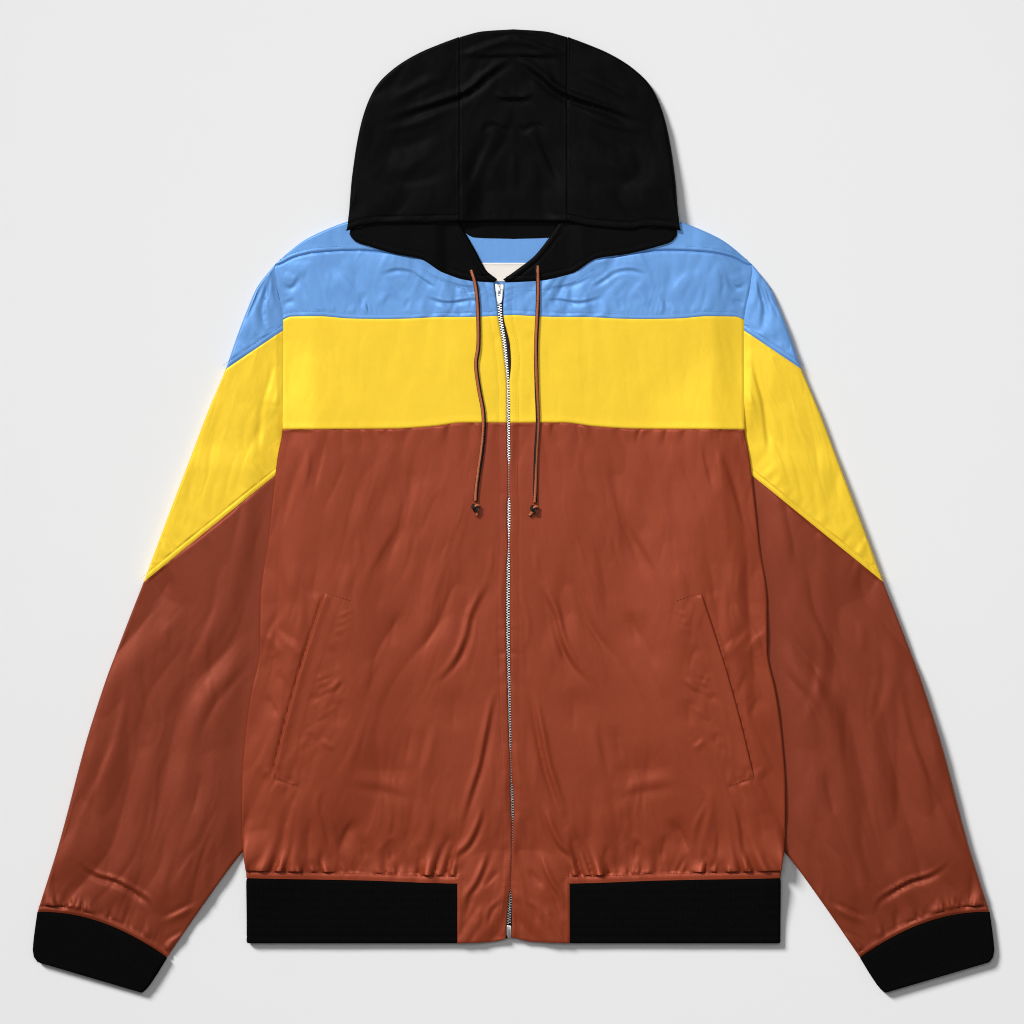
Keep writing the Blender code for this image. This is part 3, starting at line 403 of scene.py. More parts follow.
def knit(name, colour, turn=0.0):
    # the rib's loops, as small uneven bumps on the ribs
    made, tree, shader = startFinish(name)
    place = placed(tree, turn)
    loops = both(tree, "ADD", threads(tree, place, "Y", 1.1), speckle(tree, place, 0.7))
    feed(tree, shader, {
        "Base Color": shaded(tree, colour, speckle(tree, place, 3, 3.0), 0.35),
        "Roughness": spread(tree, speckle(tree, place, 2), 0.7, 0.9),
        "Specular IOR Level": 0.02,
    })
    bumped(tree, shader, loops, 0.12, 0.7)
    return made


def thread(name, colour, size=0.5, amount=0.18):
    # twisted yarn, for stitches, tape, braid and label
    made, tree, shader = startFinish(name)
    place = placed(tree)
    twist = both(tree, "ADD", threads(tree, place, "DIAGONAL", size), speckle(tree, place, size * 1.3))
    feed(tree, shader, {
        "Base Color": shaded(tree, colour, speckle(tree, place, size * 2.5), amount),
        "Roughness": spread(tree, speckle(tree, place, 1.5), 0.55, 0.75),
        "Specular IOR Level": 0.25,
    })
    bumped(tree, shader, twist, 0.08, 0.7)
    return made


def metal(name, colour, rough):
    made, tree, shader = startFinish(name)
    place = placed(tree)
    feed(tree, shader, {
        "Metallic": 1.0,
        "Base Color": shaded(tree, colour, speckle(tree, place, 2.5), 0.06),
        "Roughness": spread(tree, speckle(tree, place, 0.8, 3.0), rough - 0.08, rough + 0.12),
    })
    bumped(tree, shader, speckle(tree, place, 0.35), 0.015, 0.4)
    return made


sleeveTurn = math.radians(-15.5)
finishes = {
    "blue": satin("blueNylon", colours["blue"]),
    "yellow": satin("yellowNylon", colours["yellow"]),
    "brown": satin("brownNylon", colours["brown"]),
    "black": satin("blackNylon", colours["black"], gloss=0.045, lustre=0.0),
    "rib": knit("blackRib", colours["rib"]),
    "label": thread("creamLabel", colours["label"], size=0.45, amount=0.05),
    "tape": thread("zipTape", colours["tape"], size=0.7),
    "metal": metal("polishedMetal", (0.80, 0.80, 0.80), 0.30),
    "teeth": metal("toothMetal", (0.93, 0.93, 0.92), 0.30),
    "copper": thread("copperBraid", colours["copper"], size=0.8),
    "cordBlack": thread("blackBraid", colours["cordBlack"], size=0.8),
    "threadBlue": thread("blueThread", (0.10, 0.24, 0.52)),
    "threadYellow": thread("yellowThread", (0.88, 0.55, 0.025)),
    "threadBrown": thread("brownThread", (0.17, 0.033, 0.015)),
    "threadBlack": thread("blackThread", (0.010, 0.009, 0.010)),
}
sleevePaintedShade = {"yellow": 1.0, "brown": 0.82, "blue": 1.0}  # painted shade: the sleeves' brown is painted darker than the body's, for the dimmer light on the sleeves
for side, sign in sides.items():
    for shade, tone in sleevePaintedShade.items():
        # the brown sleeves' colour carries the painted shade; the blue and yellow sleeves' colours are only
        # turned
        colour = [channel * tone for channel in colours[shade]]
        finishes[shade + side] = satin(f"{shade}Nylon_{side}Sleeve", colour, sign * sleeveTurn)
    finishes["rib" + side] = knit(f"blackRib_{side}Cuff", colours["rib"], sign * sleeveTurn)
print("jacket: finishes made")

# Camera, light and floor

studio = {
    "height": 3400.0,
    "focus": 6.0,  # height on the jacket at which the picture's width is measured
    "seen": 995.3,  # across the picture, at the jacket
    "middle": (-1.46, -0.68),
    "sky": 0.16,
    "key": 2.95,
    "keyFrom": (-0.50, 0.62, 0.72),
    "keySoftness": 9,  # degrees
    "low": 4.75,  # a lower light for the floor, which draws the long soft shadow beside the jacket
    "lowFrom": (-0.62, 0.62, 0.47),
    "lowSoftness": 15,
    "softbox": 4.9,  # overhead, which the cloth's lustre and the metal reflect
    "softboxAt": (0.0, 250.0, 1600.0),
    "softboxSize": (800.0, 700.0),
    "floor": -0.3,
    "floorReach": 6000.0,
}


def makeStudio():
    scene = bpy.context.scene
    camera = addObject("camera", bpy.data.cameras.new("camera"))
    camera.data.sensor_width = 36
    camera.data.lens = 36 * studio["height"] / studio["seen"]
    camera.data.clip_end = 20
    camera.location = [place * mm for place in (*studio["middle"], studio["height"] + studio["focus"])]
    scene.camera = camera
    scene.view_settings.view_transform = "Standard"
    scene.cycles.denoising_prefilter = "NONE"  # small parts such as the zip's teeth stay crisp
    scene.cycles.filter_width = 1.0
    world = bpy.data.worlds.new("paleRoom")
    world.use_nodes = True
    background = world.node_tree.nodes["Background"]
    feed(world.node_tree, background, {"Color": (1, 1, 1, 1), "Strength": studio["sky"]})
    scene.world = world
    suns = {}
    for name in ("key", "low"):
        suns[name] = sun = addObject(name, bpy.data.lights.new(name, "SUN"))
        sun.data.energy = studio[name]
        sun.data.angle = math.radians(studio[name + "Softness"])
        sun.rotation_mode = "QUATERNION"
        sun.rotation_quaternion = Vector(studio[name + "From"]).to_track_quat("Z", "Y")
    box = addObject("softbox", bpy.data.lights.new("softbox", "AREA"))
    box.data.shape = "RECTANGLE"
    box.data.size, box.data.size_y = [size * mm for size in studio["softboxSize"]]
    box.data.energy = studio["softbox"]
    box.location = [place * mm for place in studio["softboxAt"]]
    box.visible_camera = False
    reach = studio["floorReach"]
    corners = [(reach * a, reach * b, studio["floor"]) for a, b in ((-1, -1), (1, -1), (1, 1), (-1, 1))]
    floor = plainMesh("floor", corners, [[0, 1, 2, 3]])
    paper, tree, shader = startFinish("paleFloor")
    feed(tree, shader, {"Roughness": 0.85, "Specular IOR Level": 0.1})
    grain = speckle(tree, placed(tree), 40)
    feed(tree, shader, {"Base Color": shaded(tree, (0.80, 0.80, 0.80), grain, 0.004)})
    floor.data.materials.append(paper)
    floor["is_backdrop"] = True
    for name, state in (("key", "EXCLUDE"), ("low", "INCLUDE")):
        lit = bpy.data.collections.new(name + "Lights")
        lit.objects.link(floor)
        lit.collection_objects[0].light_linking.link_state = state
        suns[name].light_linking.receiver_collection = lit


makeStudio()

# Form of the body, from the side seams, the panel seams and the sleeve tucked under each side

sideEdge = smoothCurve(
    (-420, 260), (-356, 259.6), (-320, 263.6), (-271, 264.2), (-206, 259.4), (-172, 254), (-134, 246.5),
    (-89, 246.5), (-37, 239.6), (26, 232.5), (54, 229), (79, 224.6), (110, 224), (186, 224.2), (206, 227.4),
    (225, 231.8), (234.5, 233.4), (238.5, 232.6), (243.6, 228.6),
)
hemTop = smoothCurve((0, -362), (55, -361.8), (140, -359), (260, -356.3))
bandLine = smoothCurve((0, 86), (48, 86.2), (80, 82.5), (115, 80.4), (225, 79.4))
yokeLine = smoothCurve((0, 190.8), (42, 188.9), (72, 188.7), (103, 187.3), (128, 186.9), (159, 187.4),
                       (189, 189.6), (216, 189.4), (225, 186))
tabBottom = smoothCurve((0, -414.6), (20, -418.8), (55, -420))
backNeck = smoothCurve((0, 265), (38, 266.4), (58, 280), (91, 299.5))
shoulderFold = smoothCurve((81, 301.5), (91, 299.5), (164, 281), (188, 271.5), (203.4, 263.7), (215.6, 254.8),
                           (228.6, 243.6))
shoulderSeam = smoothCurve((81, 244.6), (112, 250.4), (150, 253.6), (190, 251.6), (212, 247.2),
                           (228.6, 239.6))
neckEdge = {
    -1: smoothCurve((-19.2, 222.2), (-41.5, 223.9), (-67, 231.3), (-91, 245.5), (-112, 250.4), (-150, 253.6),
                    (-190, 251.6), (-212, 247.2), (-228.6, 239.6)),
    1: smoothCurve((-8.8, 222.2), (24.5, 223.9), (57, 231.3), (81, 245.5), (112, 250.4), (150, 253.6),
                   (190, 251.6), (212, 247.2), (228.6, 239.6)),
}
zipLine = smoothCurve(
    (-420, -4.8), (-367, -2.8), (-300, -1), (-220, -3.4), (-100, -5.2), (0, -4.4), (113, -5.2), (161, -8.3),
    (190, -12.4), (222, -14),
)
# how far each front's edge stands off the zip's middle: the teeth show where it is open
zipOpen = {
    -1: smoothCurve((-420, 2.6), (-398, 2.6), (-375, 1.2), (-366, 0.1), (-335, 0.1), (-318, 0.5), (-302, 0.5),
                    (-296, 1.1), (-270, 1.3), (-262, 0.7), (-236, 0.4), (-226, 1.0), (-170, 1.3), (-120, 1.9),
                    (-50, 1.7), (-34, 0.5), (-25, 0.7), (-12, 1.5), (8, 1.4), (16, 0.3), (44, 0.3), (54, 1.4),
                    (100, 1.5), (125, 1.1), (150, 1.7), (175, 2.3), (193, 2.5), (200, 2.8), (205, 3.3),
                    (210, 4.2), (222, 5.0)),
    1: smoothCurve((-420, 2.6), (-398, 2.4), (-375, 1.3), (-366, 0.1), (-335, 0.1), (-318, 0.3), (-302, 0.3),
                   (-296, 1.2), (-270, 1.3), (-262, 0.5), (-236, 0.3), (-226, 1.2), (-170, 1.4), (-120, 1.9),
                   (-100, 1.6), (-50, 1.6), (-34, 0.5), (-25, 0.7), (-12, 1.4), (8, 1.3), (16, 0.2),
                   (44, 0.2), (54, 1.6), (95, 1.6), (125, 1.5), (134, 3.0), (146, 4.6), (160, 5.0),
                   (175, 3.9), (186, 2.8), (193, 2.6), (200, 2.8), (205, 3.3), (210, 4.2), (222, 5.0)),
}
tuckedEdge = np.array([(229, 54), (224, 36), (204, 5), (186, -45), (175, -100), (173, -155), (182, -210),
                       (210, -262), (243, -306), (262, -327)], float)
body = {
    "tabHalf": 54.7,
    "tabTop": -361.8,
    "hem": -420.0,
    "shoulderHalf": 233.0,
    "rightNeck": 91.0,  # from the middle line to the back neck's ends
    "leftNeck": 81.0,
    "edge": 3.3,  # height of the front beside its seams
    "loft": 3.0,
    "tuck": 6.0,
    "wall": 1.0,
    "step": 1.75,
    "backStep": 4.4,
}

# Creases of a front: height, half width, lean, then places across and up
frontCreases = [
    (-0.9, 9, 0.2, (74, -12), (88, -66), (90, -105), (84, -112)),
    (1.5, 4.0, 0.75, (20, -62), (39, -96), (46, -124), (58, -148), (75, -166), (80, -172)),
    (1.9, 3.6, 0.8, (14, -166), (20, -186), (26, -216), (32, -246), (42, -278), (49, -303), (50, -315)),
    (1.8, 3.6, 0.8, (28, -282), (34, -305), (44, -325), (56, -335), (60, -343)),
    (-1.0, 8, 0.0, (101, -80), (112, -104), (131, -134), (137, -158), (142, -182)),
    (-0.7, 8, 0.0, (57, -170), (59, -190), (57, -218)),
    (0.9, 5.5, -0.6, (79, -200), (83, -226), (89, -252), (93, -262)),
    (-0.7, 6, 0.0, (97, -206), (103, -234), (103, -246)),
    (0.8, 7, -0.6, (165, -262), (140, -266), (119, -270), (92, -279)),
    (0.9, 4, 0.3, (189, -266), (187, -282), (175, -306), (173, -326), (173, -340)),
    (-2.2, 5.0, -0.2, (153, -296), (165, -316), (170, -334)),
    (-1.4, 3.2, 0.0, (149, -312), (145, -332), (145, -343)),
    (-1.8, 4.0, 0.3, (215, -280), (221, -308), (223, -342)),
    (-1.3, 3.2, 0.2, (196, -296), (199, -320), (197, -342)),
    (1.2, 4.5, 0.5, (181, -262), (190, -284), (184, -312), (180, -340)),
    (-1.1, 3.0, 0.2, (121, -316), (118, -334), (119, -344)),
    (-1.0, 3.0, 0.2, (92, -322), (88, -336), (87, -346)),
    (-0.5, 5, 0.0, (236, -282), (243, -322)),
    (-0.6, 6, 0.0, (107, -286), (105, -312), (97, -326)),
    (0.6, 5, 0.0, (137, -334), (113, -312)),
    (0.9, 4.5, 0.2, (246, -106), (243, -117), (232, -127), (229, -138), (243, -142)),
    (0.9, 4.5, 0.3, (220, -120), (208, -132), (202, -146)),
    (-0.8, 4.5, 0.2, (228, -152), (220, -170), (216, -184)),
    (-0.9, 4.5, 0.2, (240, -176), (227, -201)),
    (0.7, 5, 0.0, (244, -150), (254, -178), (257, -210)),
    (0.8, 4, 0.3, (245, -258), (238, -248)),
    (-0.8, 3.2, 0.0, (229, -245), (223, -265)),
    (-0.7, 3, 0.0, (219, -256), (221, -268)),
    (-0.6, 4, 0.0, (215, -266), (206, -270)),
    (0.9, 3.2, 0.6, (165, -162), (178, -178)),
    (-0.6, 3, 0.0, (180, -128), (173, -142), (172, -156)),
    (0.6, 3, 0.4, (190, -157), (182, -168)),
    (-0.6, 3.4, 0.0, (190, -186), (196, -176)),
    (0.8, 3.2, 0.4, (186, -219), (173, -231)),
    (-0.7, 6, 0.0, (170, -180), (170, -212)),
    (-0.6, 4, 0.0, (198, -214), (196, -226)),
    (-0.7, 8, 0.0, (71, 24), (94, -30)),
    (-0.9, 6, -0.4, (108, -8), (136, -58), (141, -64)),
    (-0.7, 10, 0.0, (153, -4), (158, -70)),
    (-0.7, 7, 0.0, (158, 60), (176, 18), (190, -6)),
    (-1.35, 4.4, 0.3, (199, 68), (211, 32), (222, -6), (227, -34)),
    (-1.2, 4.6, 0.2, (182, 76), (187, 48), (196, 14)),
    (0.8, 4.0, 0.3, (193, 72), (199, 40), (207, 8)),
    (-0.8, 5, 0.3, (205, -139), (217, -125), (230, -110)),
    (-0.7, 8, 0.0, (114, -96), (120, -134)),
    (0.6, 6, 0.4, (128, -140), (140, -162), (146, -184)),
    (-0.6, 5, 0.2, (45, -122), (52, -174)),
    (-0.6, 7, 0.0, (72, -246), (83, -280), (78, -304)),
    (1.7, 3.4, 0.8, (22, -326), (29, -347), (36, -362), (45, -376), (47, -391)),
    (-1.3, 3.0, 0.2, (12, -348), (23, -360), (30, -368)),
    (-1.2, 3.2, 0.2, (36, -372), (43, -384), (47, -400)),
    (1.1, 3.0, 0.7, (12, -376), (22, -388), (27, -404)),
    (-0.5, 4, 0.0, (20, -372), (24, -408)),
    (0.6, 4, 0.0, (34, -380), (33, -410)),
    (-0.5, 4, 0.0, (53, -355), (57, -344)),
    (-0.5, 3.0, 0.0, (12, -120), (13, -165)),
    (0.5, 3.2, 0.4, (19, -30), (22, -66)),
    (-0.45, 3.5, 0.0, (14, -200), (13, -250)),
    (0.5, 3.2, 0.2, (22, -232), (19, -280)),
    (-0.5, 3.2, 0.0, (12, -290), (14, -330)),
    (0.45, 3.2, 0.0, (19, -300), (21, -330)),
]
# folds of one front only
leftCreases = [
    (0.6, 2.6, 0.5, (6, -62), (7, -80), (11, -98), (13, -118), (9, -140)),
    (-0.7, 3.2, 0.3, (46, -290), (51, -314)),
]
rightCreases = [
    (0.5, 2.6, 0.5, (8, -40), (11, -78), (9, -120)),
]
bandCreases = [
    (-0.30, 6, 0.0, (30, 172), (38, 120)),
    (-0.22, 8, 0.0, (120, 176), (124, 118)),
    (-0.25, 9, 0.0, (170, 150), (163, 96)),
    (0.25, 8, 0.0, (60, 170), (66, 110)),
    (0.25, 7, 0.0, (196, 160), (190, 100)),
    (-0.35, 4, 0.0, (17, 120), (16, 90)),
    (-0.3, 3, 0.0, (16, 176), (18, 160)),
]
yokeCreases = [
    (-1.5, 2.2, 0.4, (132, 230), (125, 232), (112, 235), (97, 232), (90, 226)),
    (-1.3, 2.2, 0.4, (100, 234), (96, 231), (86, 224), (74, 217)),
    (-1.6, 2.2, 0.4, (90, 211), (81, 207), (64, 203), (40, 206), (28, 204)),
    (-0.8, 2.4, 0.3, (84, 232), (62, 222), (44, 218), (26, 219)),
    (0.9, 7.0, 0.4, (176, 236), (160, 222), (150, 206)),
    (-0.7, 2.6, 0.3, (198, 240), (203, 222), (200, 204)),
    (0.7, 3.2, 0.3, (120, 214), (126, 206), (128, 198)),
    (-0.7, 2.6, 0.2, (24, 216), (34, 214), (54, 211)),
    (0.9, 6.0, 0.5, (130, 226), (118, 216), (112, 204)),
    (-0.8, 3.0, 0.3, (142, 214), (146, 204), (148, 196)),
    (-0.8, 2.6, 0.3, (100, 208), (103, 200), (104, 194)),
    (-1.6, 2.6, 0.3, (226, 224), (221, 219), (216, 218), (211, 224), (207, 234)),
    (-1.0, 3.0, 0.3, (226, 203), (219, 204.5), (212, 207)),
    (0.6, 5.0, 0.0, (222, 234), (216, 224), (212, 232)),
    (-0.5, 6, 0.0, (150, 243), (158, 206)),
    (0.5, 6, 0.0, (178, 240), (184, 204)),
    (-0.4, 7, 0.0, (116, 222), (122, 200)),
]


def tuckRise(across, up):
    # how far the sleeve below lifts the body
    across, up = np.broadcast_arrays(np.asarray(across, float), np.asarray(up, float))
    ups, edges = tuckedEdge[::-1, 1], tuckedEdge[::-1, 0]
    over = (up >= ups[0]) & (up <= ups[-1]) & (across >= np.interp(up, ups, edges))
    gap = np.abs(placeAlong(across.ravel(), up.ravel(), tuckedEdge)[0]).reshape(across.shape)
    return body["tuck"] * np.where(over, 1.0, 1 - ease((gap - 12) / mix(70, 105, ease(up / 60))))


def freeSide(up):
    # 1 where the body's side lies loose on the sleeve or the floor, 0 along the armhole
    return ease((92 - up) / 20)


pocket = {"top": (182.6, -79.6), "foot": (234.0, -259.2), "bow": 2.8, "width": 27.0, "lip": 1.3, "wall": 0.7}
pocketTop = np.array(pocket["top"])
pocketRun = np.array(pocket["foot"]) - pocketTop
pocketLength = float(np.hypot(*pocketRun))
towardsZip = np.array((pocketRun[1], -pocketRun[0])) / pocketLength


def pocketPlace(across, up):
    # share down the pocket's opening, and distance from it towards the zip
    dx, dy = across - pocketTop[0], up - pocketTop[1]
    down = (dx * pocketRun[0] + dy * pocketRun[1]) / pocketLength**2
    bow = pocket["bow"] * np.sin(np.pi * np.clip(down, 0, 1))
    return down, dx * towardsZip[0] + dy * towardsZip[1] + bow


# distances of the stitching from the seams and edges
sewn = {
    "panel": 4.5,
    "hem": 6.4,
    "hemTurn": 5.0,  # how far its inner end turns up
    "zip": 8.2,
    "tab": 5.6,
    "cuff": 5.6,
    "collar": 8.7,
    "crown": 6.4,
    "crownSeam": 3.0,
    "face": 6.6,
    "neck": 5.4,
}


def hemStitch(across):
    # the stitching above the rib, whose inner end turns up beside the tab
    return hemTop(across) + sewn["hem"] + sewn["hemTurn"] * ease((54 - across) / 9.0)


def frontEdge(sign, up):
    # where a front ends beside the zip
    return zipLine(up) + sign * zipOpen[sign](up)


def zipGap(x, up):
    # distance from a front's edge beside the zip
    return np.abs(x - np.where(x < zipLine(up), frontEdge(-1, up), frontEdge(1, up)))


# gathers at the seams: spacing, reach, depth and seed
hemGathers = [(6.5, 13, 2.8, 11), (5.0, 12, 2.6, 18), (12.0, 34, 3.0, 19), (19, 46, 4.4, 15)]
bandGathers = [(8.5, 17, 1.2, 21), (19, 40, 0.5, 25)]


def frontDetail(x, up):
    across = np.abs(x)
    band, yoke, hem = bandLine(across), yokeLine(across), hemTop(across)
    inLower, inYoke = ease((band - up) / 3), ease((up - yoke) / 3)
    inBand = (1 - inLower) * (1 - inYoke)
    toZip, toSide = zipGap(x, up), sideEdge(up) - across
    # long soft folds, which run from the zip's top towards the side
    slant = across + 0.22 * up + 16 * hills(across / 90, up / 110, 6)
    some = np.clip(0.55 + 0.9 * hills(across / 60, up / 85, 7), 0.15, 1.4)
    long = 2.8 * folds(slant / 38, up / 130, 1) + 0.75 * folds(slant / 13, up / 60, 2)
    soft = 1.6 * folds((across - 0.5 * up) / 26, (up + 0.5 * across) / 60, 4)
    fine = 0.45 * folds((across + 0.3 * up) / 9, up / 40, 5)
    waves = some * (inLower * long + inYoke * (soft + fine)) + inBand * 0.3 * folds(across / 26, up / 90, 3)
    z = ease(toZip / 7) * waves
    oneSided = creased(x, up, leftCreases) + creased(-x, up, rightCreases)
    z += inLower * (creased(across, up, frontCreases) + oneSided)
    z += inBand * creased(across, up, bandCreases) + inYoke * creased(across, up, yokeCreases)
    # wrinkles at the seams
    aboveHem, aboveYoke = up - hemStitch(across), up - yoke - sewn["panel"]
    onRib = ease((across - 52) / 6)
    pulled = 0.25 + ridge(across - 189, 12) + ridge(across - 138, 12, 0.8)
    z += onRib * (aboveHem > 0) * gathered(across, np.abs(aboveHem), hemGathers)
    z += (up < band) * gathered(across, np.abs(band - up), bandGathers)
    z += (aboveYoke > 0) * pulled * gathers(across, np.abs(aboveYoke), 4.6, 22, 1.5, 31)
    z += (up > yoke) * gathers(up, toZip, 6.0, 16, 0.30, 35)
    z += inLower * gathers(up, toZip, 11.0, 14, 0.40, 41)
    z += inBand * gathers(up, toZip, 14.0, 10, 0.16, 45)
    z += inYoke * gathers(up, np.abs(toSide), 7.0, 12, 0.30, 51)
    # seams: the panel above is laid over the one below, and stitched
    for seam, lift in ((yoke, 0.22), (band, 0.35)):
        z += (up > seam) * lift * (1 - ease((up - seam) / 8)) + groove(up - seam, 1.0, 0.35)
    z += groove(aboveYoke, 0.8, 0.20) + groove(toZip - sewn["zip"], 0.9, 0.30)
    z += onRib * (groove(aboveHem, 1.3, 0.75) * ease((up - hem) / 2) + ridge(up - hem - 3.2, 2.2, 0.10))
    z += (up < hem + 4) * groove(across - body["tabHalf"] + sewn["tab"], 0.9, 0.45)
    z += (up < hem) * (groove(across - body["tabHalf"], 1.1, 0.5) + rolled(up - tabBottom(across), 2.5, 1.1))
    shoulder = up - shoulderSeam(across)
    onShoulder = ease((across - 80) / 4) * ease((up - 230) / 6)
    seam = groove(shoulder, 1.2, 1.2) + groove(shoulder - sewn["panel"], 0.8, 0.2)
    z += onShoulder * (seam + (shoulder > 0) * 0.5 * (1 - ease(shoulder / 8)))
    # the pocket's opening is a sharp shaded line, and its bag puffs the front a little
    down, inward = pocketPlace(across, up)
    within, along = ease(down / 0.05) * ease((1 - down) / 0.05), down * pocketLength
    uneven = np.clip(0.5 + 1.1 * hills(along / 16, inward / 12, 123), 0, 1.5)
    bag = uneven * gathers(along + 0.9 * inward, np.abs(inward - pocket["width"]), 9.0, 12, 1.2, 121)
    z += within * (groove(inward + 1.1, 1.3, 1.3) + ridge(inward + 9, 8.0, 0.7) + bag)
    inFoot = ease((16 - np.abs(inward - 14)) / 4)
    return z + inFoot * gathers(inward, np.abs(down - 1) * pocketLength, 6.5, 22, 1.2, 122)


def frontTop(x, up):
    across = np.abs(x)
    inside = sideEdge(up) - across
    z = body["edge"] + tuckRise(across, up) + body["loft"] * ease(inside / 35) + frontDetail(x, up)
    z += freeSide(up) * rolled(inside, 2.2, 1.4) + (1 - freeSide(up)) * groove(inside, 1.2, 0.5)
    return z + rolled(zipGap(x, up), 2.2, 0.9)


def backUnder(x, up):
    # the outer face of the back, which the jacket lies on
    across = np.abs(x)
    inside, band, yoke = sideEdge(up) - across, bandLine(across), yokeLine(across)
    inLower, inYoke = ease((band - up) / 3), ease((up - yoke) / 3)
    soft = 0.5 * hills(x / 30, up / 120, 61) + 0.3 * hills(x / 12, up / 55, 62) + 0.25
    z = soft * (0.35 + 0.65 * inLower) + 0.6 * creased(across + 6, up, frontCreases) * inLower
    z += gathers(x, np.abs(up - hemTop(across) - 6), 6, 18, 0.6, 63)
    z += gathers(x, np.abs(up - band), 9, 16, 0.24, 64)
    z += inYoke * gathers(x, np.abs(up - yoke), 6, 14, 0.24, 65)
    z = np.clip(z, 0, 1.5) * ease(inside / 30)
    for seam in (band, yoke):
        z += ridge(up - seam, 1.1, 0.5) + ridge(up - seam - sewn["panel"], 0.8, 0.25)
    return tuckRise(across, up) + z - freeSide(up) * rolled(inside, 3.0, 1.65)


def panelPlan(sign, low, high, shares, heights):
    # plan places of a body panel from side seam to zip, and from its low seam to its high one
    share, height = np.meshgrid(shares, heights, indexing="ij")
    up = np.zeros_like(share)
    for _ in range(7):
        x = mix(sign * sideEdge(up), frontEdge(sign, up), share)
        up = mix(low(x), high(x), height)
    return x, up


def lifted(x, up, top):
    return np.stack([x, up, top(x, up)], -1)


# Hood heights, which the cords need too

hood = {"crown": 6.65, "flap": 4.65, "step": 2.4, "backStep": 4.5, "wall": 1.0}
neckMiddle = -5.0
centreHalf = 52.2
crownEdge = smoothCurve((-161, 272.5), (-145, 277.3), (-128, 279.6), (-102.5, 279.8), (-52, 281),
                        (6, 282), (52, 281), (70.5, 277.2), (92, 275), (115, 273.5), (127, 276),
                        (143, 275.4), (163, 272.5))
hoodCreases = [
    (2.6, 4.0, 0.85, (-14, 432), (0, 439), (24, 424), (47, 406), (92, 390), (136, 375)),
    (2.0, 4.0, 0.5, (60, 440), (50, 445), (25, 454), (0, 460), (-25, 454)),
    (1.7, 3.0, 0.7, (-40, 442), (0, 443), (25, 442), (56, 443)),
    (1.9, 2.8, 0.7, (-21, 404), (0, 400.5), (10, 401), (24, 406)),
    (-1.8, 2.8, 0.4, (32, 362), (28, 375), (18, 376), (10, 372), (0, 377)),
    (-1.5, 5, 0.3, (18, 374), (30, 350), (42, 322), (52, 304)),
    (1.2, 4, 0.5, (56, 392), (90, 376), (130, 366)),
    (1.0, 4, 0.5, (60, 424), (96, 408), (126, 392)),
    (-1.4, 7, 0.3, (66, 372), (96, 356), (130, 350)),
    (1.3, 7, 0.2, (60, 366), (96, 336), (126, 316)),
    (-1.3, 7, 0.3, (58, 332), (92, 320), (140, 318)),
    (-0.8, 9, 0.0, (74, 432), (96, 420), (112, 404)),
    (0.8, 9, 0.0, (20, 350), (26, 310)),
    (-0.7, 8, 0.0, (8, 352), (6, 300)),
]


def overFront(up):
    # 1 where the hood lies over the neck and shoulders, 0 above them
    return 1 - ease((up - 300) / 60)


def crownTop(x, up):
    across, fromEdge = np.abs(x), up - crownEdge(x)
    z = hood["crown"] + ease((across - 28) / 24) * mix(0.5, 4.2, overFront(up))
    z += 1.6 * folds(across / 40 + up / 90, up / 60, 71) + 0.5 * folds(across / 14 + up / 40, up / 34, 72)
    z += creased(across, up, hoodCreases)
    fromSeam = across - centreHalf
    z += groove(fromSeam, 1.1, 0.5) + groove(np.abs(fromSeam) - sewn["crownSeam"], 0.8, 0.25)
    z += ridge(fromEdge - 3.0, 2.4, 0.3) + groove(fromEdge - sewn["crown"], 1.0, 0.5)
    z += (fromEdge > sewn["crown"]) * gathers(x, np.abs(fromEdge - sewn["crown"]), 5, 9, 0.5, 73)
    return z + rolled(fromEdge, 2.0, 1.2)


hoodFront = np.array([  # face opening: across, up, lean; then neck seam or fold: across, up, lean
    (3, 225.6, -12.8, 5.2, 222.6, -12.8), (14.7, 234.5, -12, 33, 223.9, -8.5), (27, 248, -7, 62, 231.3, -5),
    (38, 264, -4.9, 86, 245.5, -5), (45, 275, -4.4, 112, 249.8, -2.5), (50, 284, -4, 137, 256.3, 0),
    (54, 292, -3, 155, 263.2, 0), (58, 300, -2, 159, 271, 0), (60, 312, 0, 152, 290, 0),
    (64, 335, 0, 149, 318, 0), (68, 362, 0, 143, 350, 0), (70, 388, 0, 132, 380, 0),
])


def flapLines(sign):
    # the face opening's edge and the neck seam's edge, as plan routes
    face = np.stack([sign * hoodFront[:, 0] + hoodFront[:, 2], hoodFront[:, 1]], -1)
    seam = np.stack([sign * hoodFront[:, 3] + hoodFront[:, 5], hoodFront[:, 4]], -1)
    return face, seam


def offRoute(x, up, route):
    shape = np.shape(x)
    return np.abs(placeAlong(np.ravel(x), np.ravel(up), route)[0]).reshape(shape)


def flapTop(x, up):
    x, up = np.broadcast_arrays(np.asarray(x, float), np.asarray(up, float))
    z = hood["flap"] + overFront(up) * (1.65 + 2.05 * ease((np.abs(x - neckMiddle) - 58) / 14))
    z = z + 0.35 * hills(x / 16, up / 16, 75)
    for sign in sides.values():
        fromFace, fromSeam = [offRoute(x, up, line) for line in flapLines(sign)]
        own = ridge(fromFace - 3.2, 2.4, 0.6) + groove(fromFace - sewn["face"], 1.0, 0.5)
        own += rolled(fromFace, 2.6, 1.0)
        own += groove(fromSeam, 1.2, 0.5) + groove(fromSeam - sewn["neck"], 0.9, 0.35)
        own += gathers(x, np.maximum(fromFace - sewn["face"], 0), 5, 8, 0.5, 76)
        z = z + ((x - neckMiddle) * sign > 0) * own
    return z


def outerTop(x, up):
    # the uppermost cloth below the hood's crown: the flaps over the neck, the front elsewhere
    onFlap = up > np.where(x < neckMiddle, neckEdge[-1](x), neckEdge[1](x))
    return np.where(onFlap, flapTop(x, up), frontTop(x, up))


# Drawcords, first of the pieces

